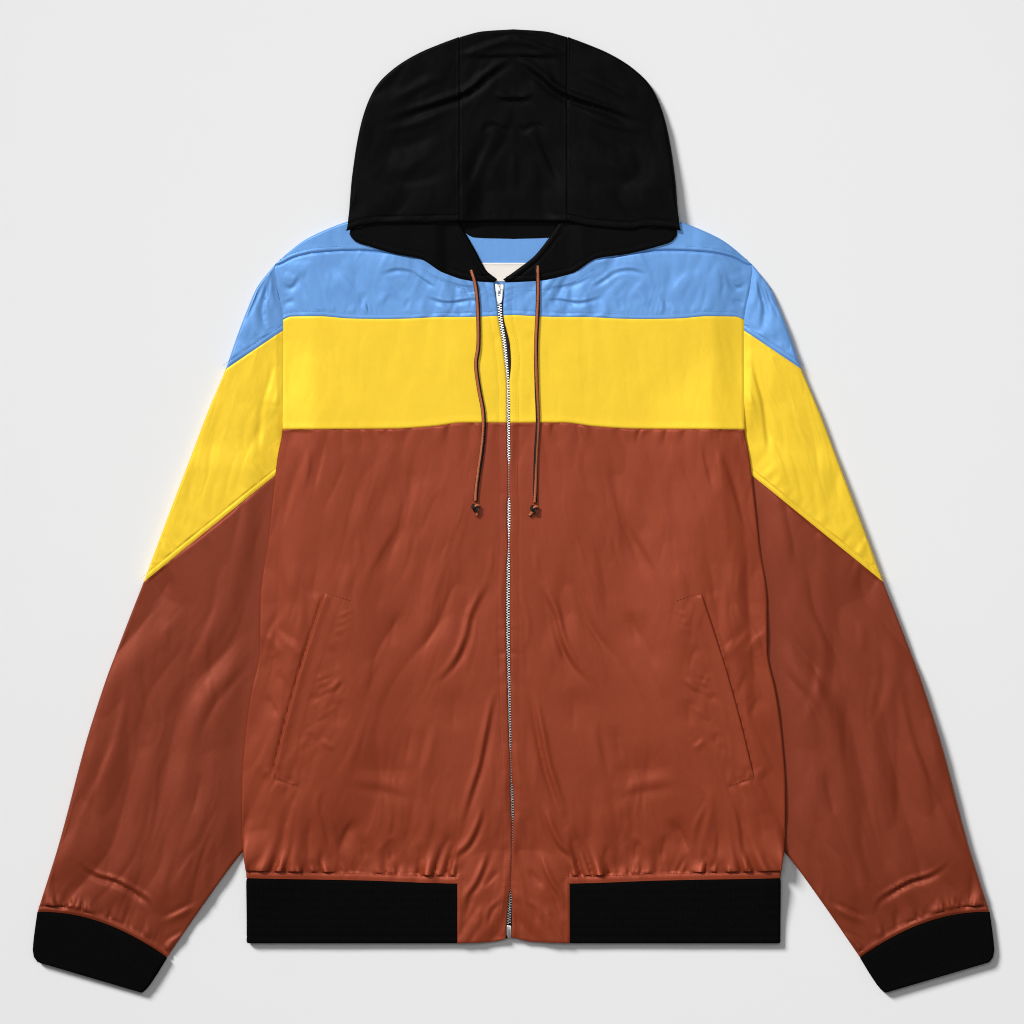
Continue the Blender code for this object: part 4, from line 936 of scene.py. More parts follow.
drawcord = {
    "diameter": 4.2,
    "step": 0.75,
    "right": {
        "route": [(-40.9, 234.5), (-36.6, 219), (-34.4, 195), (-34, 162), (-36.3, 143), (-33.6, 120),
                  (-29.3, 96), (-29.2, 76), (-31, 57), (-34, 37), (-36.2, 20), (-36.7, 10)],
        "knot": (-36.4, 3.4), "tail": (1.0, -7.4), "length": 0.227,
    },
    "left": {
        "route": [(23.2, 238.5), (23.8, 215), (23.3, 191), (22, 161), (22.4, 125), (23.7, 88), (22.6, 68),
                  (21.6, 48), (21.2, 27), (20.8, 8.5)],
        "knot": (20.5, 2.0), "tail": (-5.2, -6.0), "length": 0.231,
    },
}


def braidTube(name, path, radius, stripeAt, around=20, capped=True):
    # a braided cord along a path: crossing strands as bumps, copper where the stripe runs, black elsewhere
    path = np.array(path, float)
    tangent = np.gradient(path, axis=0)
    tangent /= np.linalg.norm(tangent, axis=1)[:, None]
    run = runAlong(path)
    lift = np.array((0, 0, 1.0))
    points, faces, copper = [], [], []
    for place, along, gone in zip(path, tangent, run):
        lift = lift - along * lift.dot(along)
        lift /= np.linalg.norm(lift)
        aside = np.cross(along, lift)
        for step in range(around):
            turn = 2 * math.pi * step / around
            strands = max(math.sin(4 * turn + gone * 1.5), math.sin(4 * turn - gone * 1.5))
            reach = radius * (0.95 + 0.05 * strands)
            points.append(place + reach * (math.cos(turn) * lift + math.sin(turn) * aside))
    for k in range(len(path) - 1):
        middle, half = stripeAt(run[k] / run[-1])
        half += 0.10 * math.sin(run[k] * 3.0)
        for step in range(around):
            here, after = k * around + step, k * around + (step + 1) % around
            faces.append([here, after, after + around, here + around])
            turn = 2 * math.pi * (step + 0.5) / around
            copper.append(abs((turn - middle + math.pi) % (2 * math.pi) - math.pi) < half)
    for end, ring in ((-1, 0), (1, len(path) - 1)) if capped else ():
        tip = len(points)
        points.append(path[ring] + tangent[ring] * radius * 0.4 * end)
        for step in range(around):
            pair = [ring * around + step, ring * around + (step + 1) % around]
            faces.append([tip, *pair[::end]])
            copper.append(False)
    made = plainMesh(name, points, faces, sharp=75)
    for strand in ("copper", "cordBlack"):
        made.data.materials.append(finishes[strand])
    made.data.polygons.foreach_set("material_index", [0 if tone else 1 for tone in copper])
    return made


def settled(route, top, above, smoothing=7):
    # heights of a cord on a route: on the highest cloth below it, eased along its length
    x, up = route[:, 0], route[:, 1]
    z = np.max([top(x + dx, up) for dx in (-1.6, 0.0, 1.6)], axis=0) + above
    padded = np.pad(z, smoothing, mode="edge")
    return np.convolve(padded, np.ones(2 * smoothing + 1) / (2 * smoothing + 1), mode="valid")


def makeCords():
    radius, step = drawcord["diameter"] / 2, drawcord["step"]
    for side, sign in sides.items():
        own = drawcord[side]
        route = smoothRoute(own["route"], step)
        rise = 3.2 * (1 - ease(np.arange(len(route)) * step / 7))  # it comes up out of its buttonhole
        path = np.column_stack([route, settled(route, outerTop, radius - 0.15) - rise])
        # the stripe turns slowly, and lies nearer the zip or the sleeve from place to place
        lean = smoothCurve((0, -0.25 * sign), (0.3, 0.35), (0.55, -0.3 * sign), (0.8, -0.6 * sign), (1, 0.3))
        cord = braidTube(f"cord_{side}", path, radius, lambda share: (lean(share) % (2 * math.pi), 0.62))
        wear(cord, None, "cord_copper", f"drawcord_{side}")
        middle = np.array(own["knot"], float)
        base = float(frontTop(middle[:1], middle[1:])[0]) + 3.2
        turn = np.linspace(0, 2 * math.pi, 90, endpoint=False)
        loop = np.column_stack([
            middle[0] + 1.02 * (np.sin(turn) + 2 * np.sin(2 * turn)),
            middle[1] + 1.08 * (np.cos(turn) - 2 * np.cos(2 * turn)),
            base - 1.5 * np.sin(3 * turn),
        ])
        loop = np.vstack([loop, loop[:1]])
        knot = braidTube(f"cordKnot_{side}", loop, 1.85, lambda share: (0.6 + 5 * share, 1.0), 16,
                         capped=False)
        tailEnd = middle + own["tail"]
        tailRoute = smoothRoute([middle, middle * 0.6 + tailEnd * 0.4 + (0.6, 0), tailEnd], 0.7)
        tail = np.column_stack([tailRoute, np.linspace(base, base - 1.3, len(tailRoute))])
        tail = braidTube(f"cordTail_{side}", tail, 1.9, lambda share: (0.2, 0.8), 16)
        wear(knot, None, "cord_copper", f"cord_knot_{side}")
        wear(tail, None, "cord_copper")


makeCords()
print("jacket: drawcords laid")

# Body panels

def cloth(name, grid, wall, finish, slot, *nodes, facing=1, ring=False, held="laid", restsOn=()):
    # one cut piece of cloth, with its finish, body and the nodes that it stands for
    piece = wear(clothMesh(name, grid, wall, facing, ring), finish, slot, *nodes)
    return piece


def makeFronts():
    step = body["step"]
    for side, sign in sides.items():
        # the lower panel: columns from the side seam to the tab and over the tab, which hangs past the hem
        up = body["tabTop"]
        seam, edge = sign * sideEdge(up), frontEdge(sign, up)
        tab = float((sign * body["tabHalf"] - seam) / (edge - seam))
        aside = stops(205, step)
        beside = len(aside) - 1
        shares = np.concatenate([aside * tab, tab + stops(50, step)[1:] * (1 - tab)])
        x, up = panelPlan(sign, bothSides(hemTop), bothSides(bandLine), shares, stops(446, step))
        down = stops(58, step)[:-1]
        x0, up0 = x[beside:, 0], up[beside:, 0]
        tabUp = mix(tabBottom(np.abs(x0))[:, None], up0[:, None], down[None, :])
        inside = ((x0 - x0[0]) / (x0[-1] - x0[0]))[:, None]
        tabX = mix(sign * (body["tabHalf"] - 0.1), frontEdge(sign, tabUp), inside)
        hole = np.full((beside, len(down)), np.nan)
        x, up = [np.hstack([np.vstack([hole, below]), above]) for below, above in ((tabX, x), (tabUp, up))]
        grid = np.full((*x.shape, 3), np.nan)
        real = ~np.isnan(x)
        grid[real] = lifted(x[real], up[real], frontTop)
        cloth(f"frontLower_{side}", grid, body["wall"], "brown", "shell_brown", f"front_{side}_lower")
        shares = stops(225, step)
        x, up = panelPlan(sign, bothSides(bandLine), bothSides(yokeLine), shares, stops(106, step))
        grid = lifted(x, up, frontTop)
        cloth(f"frontBand_{side}", grid, body["wall"], "yellow", "shell_yellow", f"front_{side}_band")
        x, up = panelPlan(sign, bothSides(yokeLine), neckEdge[sign], shares, stops(55, 1.4))
        grid = lifted(x, up, frontTop)
        cloth(f"frontYoke_{side}", grid, body["wall"], "blue", "shell_blue", f"front_{side}_yoke")


def backPlan(low, high, shares, heights):
    share, height = np.meshgrid(shares, heights, indexing="ij")
    up = np.zeros_like(share)
    for _ in range(6):
        x = (2 * share - 1) * sideEdge(up)
        up = mix(low(np.abs(x)), high(np.abs(x)), height)
    return x, up


def makeBacks():
    step, wall = body["backStep"], body["wall"]
    wide = stops(500, step)
    x, up = backPlan(hemTop, bandLine, wide, stops(444, step))
    cloth("backLower", lifted(x, up, backUnder), wall, "brown", "shell_brown", "back_lower", facing=-1)
    x, up = backPlan(bandLine, yokeLine, wide, stops(106, step))
    cloth("backBand", lifted(x, up, backUnder), wall, "yellow", "shell_yellow", "back_band", facing=-1)
    # the yoke wraps over each shoulder to a seam in front, and ends at the neck between them
    half, rightNeck, leftNeck = body["shoulderHalf"], body["rightNeck"], body["leftNeck"]
    right, left = (1 - rightNeck / half) / 2, (1 + leftNeck / half) / 2
    parts = [mix(start, end, stops(wide, 2.6))
             for start, end, wide in ((0, right, 142), (right, left, 172), (left, 1, 152))]
    shares = np.concatenate([parts[0], parts[1][1:], parts[2][1:]])
    count = np.arange(len(shares))
    atNeck = (count > len(parts[0]) - 1) & (count < len(parts[0]) + len(parts[1]) - 2)
    side = 2 * shares - 1

    def meeting(line):
        # where each column meets a line across the yoke
        across = np.abs(side) * half
        for _ in range(8):
            across = np.abs(side) * sideEdge(line(across))
        return line(across), across

    (low, _), (fold, atFold), (seam, _), (neck, _) = [
        meeting(line) for line in (yokeLine, shoulderFold, shoulderSeam, backNeck)]
    radius = (frontTop(atFold, fold - 4) - backUnder(atFold, fold - 4)) / 2
    run = 0.7 * radius
    middle = backUnder(atFold, fold - run) + radius
    hole = np.where(atNeck, np.nan, 1.0)
    top = np.where(atNeck, neck, fold - run)
    rows = []
    for height in stops(100, 2.8):
        up = mix(low, top, height)
        rows.append(lifted(side * sideEdge(up), up, backUnder))
    for turn in halfTurn:
        up = fold - run * (1 - math.sin(turn))
        rows.append(np.stack([side * sideEdge(up), up, (middle - radius * math.cos(turn)) * hole], -1))
    for height in stops(40, 2.6)[::-1]:
        up = mix(seam, fold - run, height)
        x = side * sideEdge(up)
        rows.append(np.stack([x, up, frontTop(x, up) * hole], -1))
    grid = np.stack(rows, 1)
    grid[np.isnan(grid[..., 2])] = np.nan
    cloth("backYoke", grid, wall, "blue", "shell_blue", "back_yoke", facing=-1)


makeFronts()
print("jacket: fronts laid")
makeBacks()
print("jacket: back laid")

# Rib knit

rib = {"pitch": 2.6, "depth": 0.38, "wall": 2.0, "thick": 6.4, "side": 259.8}
ribRows = np.array([0, 0.8, 1.8, 3.2, 5.4, 6.4, 7.6, 16, 26, 36, 46, 53, 57, 59.5, 61.2]) / 61.2


def ribbed(along):
    return rib["depth"] * (np.abs(np.sin(math.pi * along / rib["pitch"])) ** 0.7 - 1)


def makeHemRib():
    cell = rib["pitch"] / 4
    radius = rib["thick"] / 2
    run = radius * 1.2
    side, end = rib["side"], rib["side"] - run
    front = np.arange(body["tabHalf"] + 0.1, end, cell)
    back = np.linspace(-end, end, 2 * round(end / cell) + 1)
    plan = [(-x, 0.0) for x in front] + [(-side + run * (1 - math.sin(t)), t) for t in halfTurn]
    plan += [(x, math.pi) for x in back] + [(side - run * (1 - math.sin(t)), t) for t in halfTurn[::-1]]
    plan += [(x, 0.0) for x in front[::-1]]
    plan = plan[: len(plan) - (len(plan) + 1) % 2]
    x, turn = np.array(plan).T
    along = np.concatenate([[0], np.cumsum(np.abs(np.diff(x)) + 0.9 * (np.abs(np.diff(turn)) > 0))])
    x, share = np.meshgrid(x, ribRows, indexing="ij")
    across = np.abs(x)
    turn = turn[:, None] + 0 * x
    foot = np.where(turn > 3, tabBottom(across) + 0.6 * ease((20 - across) / 20), body["hem"])
    up = mix(foot, hemTop(across) - 0.1, share)
    dips = ribbed(along)[:, None] + rolled(up - foot, 3.0, 1.0) + groove(up - foot - 6.4, 0.9, 0.35)
    dips = dips + groove(hemTop(across) - up, 1.6, 0.9) + 0.25 * hills(x / 34, up / 40, 81)
    below = tuckRise(across, up)
    z = below + radius + (radius + dips) * np.cos(turn)
    z = np.where(turn > 3, np.maximum(z, below + 0.02), z)
    grid = np.stack([x + np.sign(x) * dips * np.sin(turn), up, z], -1)
    return cloth("hemRib", grid, rib["wall"], "rib", "rib_black", "hem_rib")


makeHemRib()

cuffRows = np.array([  # outer fold: across, up; then inner fold: across, up
    (463.2, -389.8, 337.0, -434.4), (466.3, -412, 346.5, -450), (467.6, -430, 355, -462.5),
    (463.2, -438.2, 361, -468.3),
])
cuff = {"bow": 12.0, "deep": 50.0, "width": 126.0}


def makeCuff(side, sign):
    rows = smoothRoute(cuffRows, 0.5)
    share = 1 - ribRows[::-1]
    gone = runAlong(rows[:, :2])
    rows = np.column_stack([np.interp(share * gone[-1], gone, column) for column in rows.T])
    outer, inner = rows[:, :2], rows[:, 2:]
    length = np.linalg.norm(inner - outer, axis=1)
    radius = rib["thick"] / 2
    flat = np.linspace(0, 1, 2 * round(cuff["width"] / rib["pitch"] * 4 / 2) + 1)
    ring = [(radius + (length - 2 * radius) * t, 0.0) for t in flat]
    ring += [(length - radius * (1 - math.sin(turn)), turn) for turn in halfTurn]
    ring += [(radius + (length - 2 * radius) * t, math.pi) for t in flat[::-1]]
    ring += [(radius * (1 - math.sin(turn)), turn) for turn in halfTurn[::-1]]
    toEnd, toSleeve = (1 - share) * cuff["deep"], share * cuff["deep"]
    edges = rolled(toEnd, 3.0, 1.0) + groove(toEnd - 6.0, 0.9, 0.3) + groove(toSleeve, 1.6, 0.8)
    columns = []
    for off, turn in ring:
        part = off / length
        place = outer + (inner - outer) * part[:, None]
        bow = cuff["bow"] * 4 * part * (1 - part) * (1 - share)
        z = radius + (radius + ribbed(off) + edges) * math.cos(turn)
        columns.append(np.stack([sign * place[:, 0], place[:, 1] + bow, np.maximum(z, 0.02)], -1))
    grid = np.stack(columns[: len(columns) // 2 * 2], 0)
    return cloth(f"cuff_{side}Rib", grid, rib["wall"], "rib" + side, "rib_black", f"cuff_{side}", ring=True)


for side, sign in sides.items():
    makeCuff(side, sign)
print("jacket: ribs knitted")

# Sleeves

sleeveRows = np.array([  # outer fold: across, up; then armhole or underarm seam: across, up
    (231.8, 240.8, 0, 240.2), (249.8, 217.3, 0, 216), (258.8, 196.5, 0, 201), (268.4, 171.6, 0, 186.4),
    (280, 138, 0, 176), (297, 97.5, 0, 143), (315, 50, 0, 110), (331, 8, 222.5, 79), (346, -32, 220.8, 63),
    (359.7, -69, 217.5, 46.5),
    (372, -100, 204, 5), (384, -131, 186, -45), (395, -160, 175, -100), (405, -190, 173, -155),
    (415, -222, 182, -210), (424, -255, 210, -262), (433, -290, 243, -306), (444, -330, 273, -343),
    (453.5, -360, 304, -386), (463, -389.5, 337, -434),
], float)
onArmhole = sleeveRows[:, 2] == 0
sleeveRows[onArmhole, 2] = sideEdge(sleeveRows[onArmhole, 3])
sleeveLines = curvesOf(sleeveRows)
sleevePieces = {"cap": (0, 4, "blue"), "band": (4, 9, "yellow"), "lower": (9, 19, "brown")}
underarm = sleeveRows[:, 2:]
blueSeam = np.array([(224.2, 176), (280, 138)], float)
yellowSeam = np.array([(217.5, 46.5), (359.7, -69)], float)
cuffSeam = np.array([(mix(337, 463, t), mix(-434, -389.5, t) + cuff["bow"] * 4 * t * (1 - t))
                     for t in np.linspace(0, 1, 13)])
sleeve = {"edge": 3.3, "loft": 2.2, "extra": 2.4, "step": 1.9, "backStep": 4.6}
sleeveCreases = [
    (-1.3, 9, 0.2, (252, -30), (250, -60), (254, -117), (263, -173), (268, -205)),
    (0.9, 6, 0.5, (284, -84), (293, -112), (298, -139), (291, -181), (273, -217)),
    (-0.8, 8, 0.0, (306, -96), (312, -140), (306, -190)),
    (-1.2, 6, 0.4, (374, -123), (382, -187), (396, -240), (414, -278), (430, -314), (429, -346)),
    (0.9, 6, 0.4, (360, -118), (363, -160), (358, -190), (346, -218)),
    (0.7, 5, 0.3, (335, -103), (338, -140)),
    (-2.6, 3.2, 0.6, (426, -338), (407, -353), (385, -360), (366, -371), (354, -380), (350, -396)),
    (1.6, 3.4, 0.6, (345, -398), (330, -392), (306, -380)),
    (1.3, 3.0, 0.6, (340, -421), (318, -408)),
    (-1.4, 3.0, 0.4, (338, -430), (326, -424), (314, -416)),
    (-0.9, 5, 0.0, (301, -250), (307, -272), (312, -300)),
    (-0.8, 5, 0.3, (279, -262), (270, -281), (266, -302)),
    (-1.0, 7, 0.3, (371, -205), (373, -260), (371, -320)),
    (0.8, 8, 0.0, (345, -230), (350, -290), (362, -340)),
    (-0.7, 8, 0.0, (330, -150), (322, -220), (326, -270)),
    (0.7, 7, 0.3, (398, -180), (408, -230), (420, -262)),
    (-0.8, 5, 0.3, (300, -316), (322, -344), (336, -372)),
    (-0.7, 5, 0.0, (392, -330), (398, -372)),
    (0.7, 4, 0.4, (436, -300), (446, -340), (450, -366)),
    (-0.6, 7, 0.0, (240, 20), (246, -20), (250, -50)),
    (-0.6, 6, 0.0, (330, -60), (352, -96)),
]
sleeveBandCreases = [
    (-1.5, 3.4, 0.3, (229, 154), (236, 128), (242, 105), (246, 70), (247, 40)),
    (0.3, 5.0, 0.0, (226, 140), (231, 112), (238, 88)),
    (0.4, 8, 0.0, (262, 140), (276, 92), (290, 40)),
    (-0.35, 8, 0.0, (276, 118), (292, 70), (300, 22)),
    (-0.35, 8, 0.0, (300, 60), (318, 10), (328, -28)),
    (0.4, 7, 0.0, (250, 80), (262, 40), (264, 16)),
]
sleeveCapCreases = [
    (-1.5, 2.6, 0.3, (238, 232), (246, 214), (254, 192), (257, 176)),
    (-2.6, 2.8, 0.3, (235, 231), (240, 212), (243, 198), (241, 182), (237, 170)),
    (1.3, 2.6, 0.4, (247, 218), (255, 202), (262, 184)),
    (-0.9, 2.4, 0.3, (250, 226), (262, 200), (270, 178)),
    (-0.9, 2.6, 0.2, (232, 204), (231, 190), (228, 178)),
    (0.5, 5, 0.0, (262, 190), (268, 165)),
    (-0.4, 4, 0.0, (250, 172), (258, 160)),
]


def offSeam(across, up, route):
    # distance from a sleeve's seam, positive towards the shoulder, and distance along it
    shape = np.shape(across)
    gap, share = placeAlong(np.ravel(across), np.ravel(up), route)
    length = np.linalg.norm(np.diff(route, axis=0), axis=1).sum()
    return gap.reshape(shape), share.reshape(shape) * length


def downSleeve(across, up):
    # distance down a sleeve, and across it towards its outer fold
    across, up = across - 290, up + 16
    return across * 0.268 - up * 0.963, across * 0.963 + up * 0.268


# gathers above the cuff: spacing, reach, depth and seed
cuffGathers = [(7.0, 16, 3.0, 94), (5.0, 12, 2.6, 87), (18, 44, 4.0, 95)]


def sleeveTop(x, up):
    across = np.abs(x)
    inside = offRoute(across, up, underarm)
    blue, alongBlue = offSeam(across, up, blueSeam)
    yellow, alongYellow = offSeam(across, up, yellowSeam)
    cuffGap, alongCuff = offSeam(across, up, cuffSeam)
    out = ease((across - sideEdge(up) - 3) / 26)
    atArm = ease((up - 40) / 30)
    out = np.maximum(out, 0.85 * atArm * ease((inside - 1.5) / 6))
    z = sleeve["edge"] + sleeve["loft"] * ease(inside / 35)
    z = z + sleeve["extra"] * out * ease(cuffGap / 60) * (1 - atArm * 0.6)
    z += tuckRise(sideEdge(up), up) * ease((up - 66) / 50) * (1 - ease(inside / 34))
    down, over = downSleeve(across, up)
    inLower, inCap = ease(-yellow / 3), ease(blue / 3)
    inBand = (1 - inLower) * (1 - inCap)
    near = ease(cuffGap / 8) * (0.15 + 0.85 * out)
    wavy = over + 15 * hills(down / 80, over / 120, 90)
    broad = 3.6 * folds(wavy / 42, down / 150, 91) + 0.9 * folds(wavy / 20, down / 90, 92)
    small = 0.7 * folds(over / 22, down / 90, 93) + 0.3 * folds(over / 8, down / 50, 88)
    detail = inLower * broad + (inBand + 2.2 * inCap) * small
    detail += inLower * creased(across, up, sleeveCreases)
    detail += inBand * creased(across, up, sleeveBandCreases) + inCap * creased(across, up, sleeveCapCreases)
    aboveCuff, aboveYellow, aboveBlue = cuffGap - sewn["cuff"], yellow - sewn["panel"], blue - sewn["panel"]
    sew = (aboveCuff > 0) * gathered(alongCuff, np.abs(aboveCuff), cuffGathers)
    atBody = 1 + ridge(across - 252, 16, 1.6)
    sew += (aboveYellow > 0) * atBody * gathers(alongYellow, np.abs(aboveYellow), 7.0, 18, 1.5, 96)
    sew += (yellow < 0) * gathers(alongYellow, np.abs(yellow), 9, 16, 0.9, 97)
    sew += (aboveBlue > 0) * gathers(alongBlue, np.abs(aboveBlue), 5.5, 12, 1.2, 98)
    sew += (blue < 0) * gathers(alongBlue, np.abs(blue), 8, 12, 0.3, 99)
    sew += atArm * gathers(up, inside, 7, 12, 0.4, 100)
    z += near * detail + out * sew
    for off in (yellow, blue):
        z += groove(off, 1.0, 0.35) + groove(off - sewn["panel"], 0.8, 0.3)
        z += (off > 0) * 0.15 * (1 - ease(off / 8)) * (off < 30)
    z += groove(cuffGap, 1.4, 0.6) + groove(aboveCuff, 1.2, 0.7) + ridge(cuffGap - 2.8, 2.0, 0.4)
    free = 1 - atArm
    return z + free * ease(cuffGap / 14) * rolled(inside, 3.0, 1.65) + (1 - free) * groove(inside, 1.2, 0.5)


def sleeveUnder(x, up):
    across = np.abs(x)
    inside = offRoute(across, up, underarm)
    yellow, _ = offSeam(across, up, yellowSeam)
    blue, _ = offSeam(across, up, blueSeam)
    _, over = downSleeve(across, up)
    z = np.clip(0.4 * hills(over / 16, up / 70, 101) + 0.5 * creased(across, up, sleeveCreases) + 0.1, 0, 1.0)
    z = z * ease(inside / 20) + ridge(yellow, 1.1, 0.5) + ridge(blue, 1.1, 0.5)
    return z - ease((70 - up) / 30) * rolled(inside, 3.0, 1.65)


foldFlat = 0.9  # how far a fold's rounding reaches, for each millimetre of its radius


def foldedGrid(inner, outer, top, under, step, backStep, bent=None, through=None, backEnd=None, single=None):
    # Sections of folded cloth, one a row: the upper layer from its inner end to the fold, the rounded fold,
    # and the layer below. bent moves plan places aside, and single marks the rows with no layer below.
    backEnd = inner if backEnd is None else backEnd
    single = np.zeros(len(inner)) if single is None else single
    bent = bent or (lambda place, share: place)
    length = np.linalg.norm(inner - outer, axis=1)
    mean = float(length.mean())
    ahead = (inner - outer) / length[:, None]
    aim = backEnd if through is None else through
    behind = (aim - outer) / np.linalg.norm(aim - outer, axis=1)[:, None]
    radius = np.full(len(inner), 2.5)
    for _ in range(4):
        run = np.minimum(foldFlat * radius, 0.45 * length) * (1 - single)
        fore = bent(outer + ahead * run[:, None], run / length)
        aft = bent(outer + behind * run[:, None], run / length)
        high, low = top(*fore.T), under(*aft.T)
        radius = (high - low) / 2
    middle = (high + low) / 2
    columns = []
    for share in stops(mean, step):
        off = mix(length, run, share)
        place = bent(outer + ahead * off[:, None], off / length)
        columns.append(np.column_stack([place, top(*place.T)]))
    hole = np.where(single > 0.99, np.nan, 1.0)
    for turn in halfTurn:
        off = run * (1 - math.sin(turn))
        place = bent(outer + (ahead if turn <= math.pi / 2 else behind) * off[:, None], off / length)
        columns.append(np.column_stack([place, (middle + radius * math.cos(turn)) * hole]))
    start = outer + behind * run[:, None]
    for share in stops(mean, backStep):
        if through is None:
            place = mix(start, backEnd, share)
        elif share < 0.5:
            place = mix(start, through, share * 2)
        else:
            place = mix(through, backEnd, share * 2 - 1)
        place = bent(place, np.clip(np.linalg.norm(place - outer, axis=1) / length, 0, 1))
        columns.append(np.column_stack([place, under(*place.T) * hole]))
    grid = np.stack(columns, 1)
    grid[np.isnan(grid[..., 2])] = np.nan
    return grid


def makeSleeves():
    for side, sign in sides.items():
        for part, (first, last, shade) in sleevePieces.items():
            long = np.linalg.norm(np.diff(sleeveRows[first:last + 1, :2], axis=0), axis=1).sum()
            rows = mix(first, last, stops(float(long) * 1.15, sleeve["step"]))
            outerX, outerUp, innerX, innerUp = [line(rows) for line in sleeveLines]
            bow = cuff["bow"] * ease((rows - 15) / 4) ** 2

            def bent(place, share):
                return place + np.column_stack([0 * share, bow * 4 * share * (1 - share)])

            inner = np.column_stack([sign * (innerX + 0.1), innerUp])
            outer = np.column_stack([sign * outerX, outerUp])
            grid = foldedGrid(inner, outer, sleeveTop, sleeveUnder, sleeve["step"], sleeve["backStep"], bent)
            cloth(f"sleeve_{side}{part.capitalize()}", grid, body["wall"], shade + side, f"shell_{shade}",
                  f"sleeve_{side}_{part}", held="folded")


makeSleeves()
print("jacket: sleeves laid")

# Hood

# seam on the crown: up; outline: across, up; a place behind: across, up; end behind: up
hoodSide = np.array([
    (460.4, 54.2, 460.9, 53.4, 460.6, 460.4), (448, 59.5, 459, 56, 452, 448), (420, 91, 446.3, 70, 431, 420),
    (388, 117, 430.2, 80, 406, 388), (356, 134.5, 412, 86, 379, 356), (330, 146, 385.5, 86, 344, 320),
    (310, 152.5, 357, 57, 312, 0), (297, 157, 326, 64, 308, 0), (288, 160.4, 297, 96, 312, 0),
    (281.3, 162.6, 272.5, 96, 312, 0),
], float)
apex = smoothCurve((0, 468.9), (30, 466.9), (52.2, 461.3))


def hoodUnder(x, up):
    z = 0.35 + 0.4 * hills(x / 26, up / 30, 111) - groove(np.abs(x) - centreHalf, 1.1, 0.5)
    return np.clip(z, 0, 1.2)


def hoodCloth(name, grid, node, **more):
    cloth(name, grid, hood["wall"], "black", "shell_black", node, **more)


def makeHood():
    x = mix(-centreHalf, centreHalf, stops(2 * centreHalf, hood["step"]))
    front, fold, back = [lineOf(x, up) for up in (crownEdge(x), apex(np.abs(x)), backNeck(np.abs(x)) + 0.2)]
    grid = foldedGrid(front, fold, crownTop, hoodUnder, hood["step"], hood["backStep"], backEnd=back)
    hoodCloth("hoodCentre", grid, "hood_centre", held="folded")
    for side, sign in sides.items():
        makeHoodSide(side, sign)
        makeHoodFront(side, sign)


def makeHoodSide(side, sign):
    # at row 8 the layer behind ends, and from there on only the upper one goes on
    rows = (len(hoodSide) - 1) * stops(330, hood["step"])
    rows = np.sort(np.append(rows[np.abs(rows - 8) > 0.03], (8.0, 8.01)))
    if len(rows) % 2 == 0:
        rows = np.delete(rows, 20)
    crownUp, outX, outUp = [line(rows) for line in curvesOf(hoodSide[:, :3])]
    neck = body[side + "Neck"]
    endX = np.array([centreHalf] * 7 + [neck - 24, neck, neck])
    endUp = hoodSide[:, 5].copy()
    endUp[6:8] = backNeck(endX[6:8]) + 0.3
    endUp[8:] = shoulderFold(neck) + 0.9
    behindX, behindUp, endX, endUp = [np.interp(rows, np.arange(len(hoodSide)), column)
                                      for column in (*hoodSide[:, 3:5].T, endX, endUp)]
    inner = lineOf(sign * (centreHalf + 0.1), crownUp)
    weight = ease((rows - 7) / 2)

    def bent(place, share):
        straight = mix(outUp, crownUp, share)
        return place + lineOf(0, weight * (crownEdge(place[:, 0]) - straight))

    single = ease((rows - 7.4) / 0.6)
    single[rows > 8.0] = 1.0
    outer, behind, end = [lineOf(sign * x, up)
                          for x, up in ((outX, outUp), (behindX, behindUp), (endX, endUp))]
    grid = foldedGrid(inner, outer, crownTop, hoodUnder, hood["step"], hood["backStep"], bent,
                      through=behind, backEnd=end, single=single)
    # the layer behind ends on an even row
    lastRow = (int(np.argmax(rows > 8.0)) - 1) // 2 * 2
    folded = np.argmin(~np.isnan(grid[-1, :, 0])) - 1
    grid[lastRow + 1:, folded + 1:] = np.nan
    hoodCloth(f"hood_{side}Side", grid, f"hood_{side}_side", held="folded")


def makeHoodFront(side, sign):
    lines = np.hstack(flapLines(sign))
    rows = (len(lines) - 1) * stops(250, 2.2)
    across = stops(60, 2.0)[None, :]
    faceX, faceUp, seamX, seamUp = [line(rows)[:, None] for line in curvesOf(lines)]
    x, up = mix(faceX, seamX, across), mix(faceUp, seamUp + 0.1, across)
    hoodCloth(f"hood_{side}Front", lifted(x, up, flapTop), f"hood_{side}_front")


makeHood()
print("jacket: hood laid")

# Pockets and label


def makePockets():
    width = pocket["width"]
    for side, sign in sides.items():
        down, inward = np.meshgrid(stops(pocketLength, 2.0), stops(width, 1.4) * width, indexing="ij")
        bow = pocket["bow"] * np.sin(np.pi * down)
        across, up = [pocketTop[k] + pocketRun[k] * down + towardsZip[k] * (inward - bow) for k in (0, 1)]
        ends = ease(down / 0.02) * ease((1 - down) / 0.03)
        lip = (pocket["lip"] - 0.2) * (1 - ease(inward / 9)) * ends + 0.2 - 0.7 * ease((inward - 14) / 10)
        z = frontTop(sign * across, up) + lip + rolled(inward, 2.0, 0.7)
        grid = np.stack([sign * across, up, z], -1)
        cloth(f"pocketWelt_{side}", grid, pocket["wall"], "brown", "shell_brown", f"pocket_welt_{side}",
              restsOn=[f"front_{side}_lower"])


makePockets()

label = {"x": (-31.0, 21.0), "up": (223.8, 241.8), "stitches": (225.2, 240.4), "z": 2.35, "wall": 0.6}


def labelTop(x, up):
    return label["z"] + 0.25 * hills(x / 18, up / 14, 131) + ridge(up - label["up"][1] + 1.4, 1.2, 0.35)


def makeLabel():
    x, up = np.meshgrid(mix(*label["x"], stops(52, 2)), mix(*label["up"], stops(18, 1.6)), indexing="ij")
    grid = lifted(x, up, labelTop)
    cloth("neckLabel", grid, label["wall"], "label", "label_cream", "neck_label", restsOn=["back_yoke"])


makeLabel()
print("jacket: pockets and label sewn")

# Zip

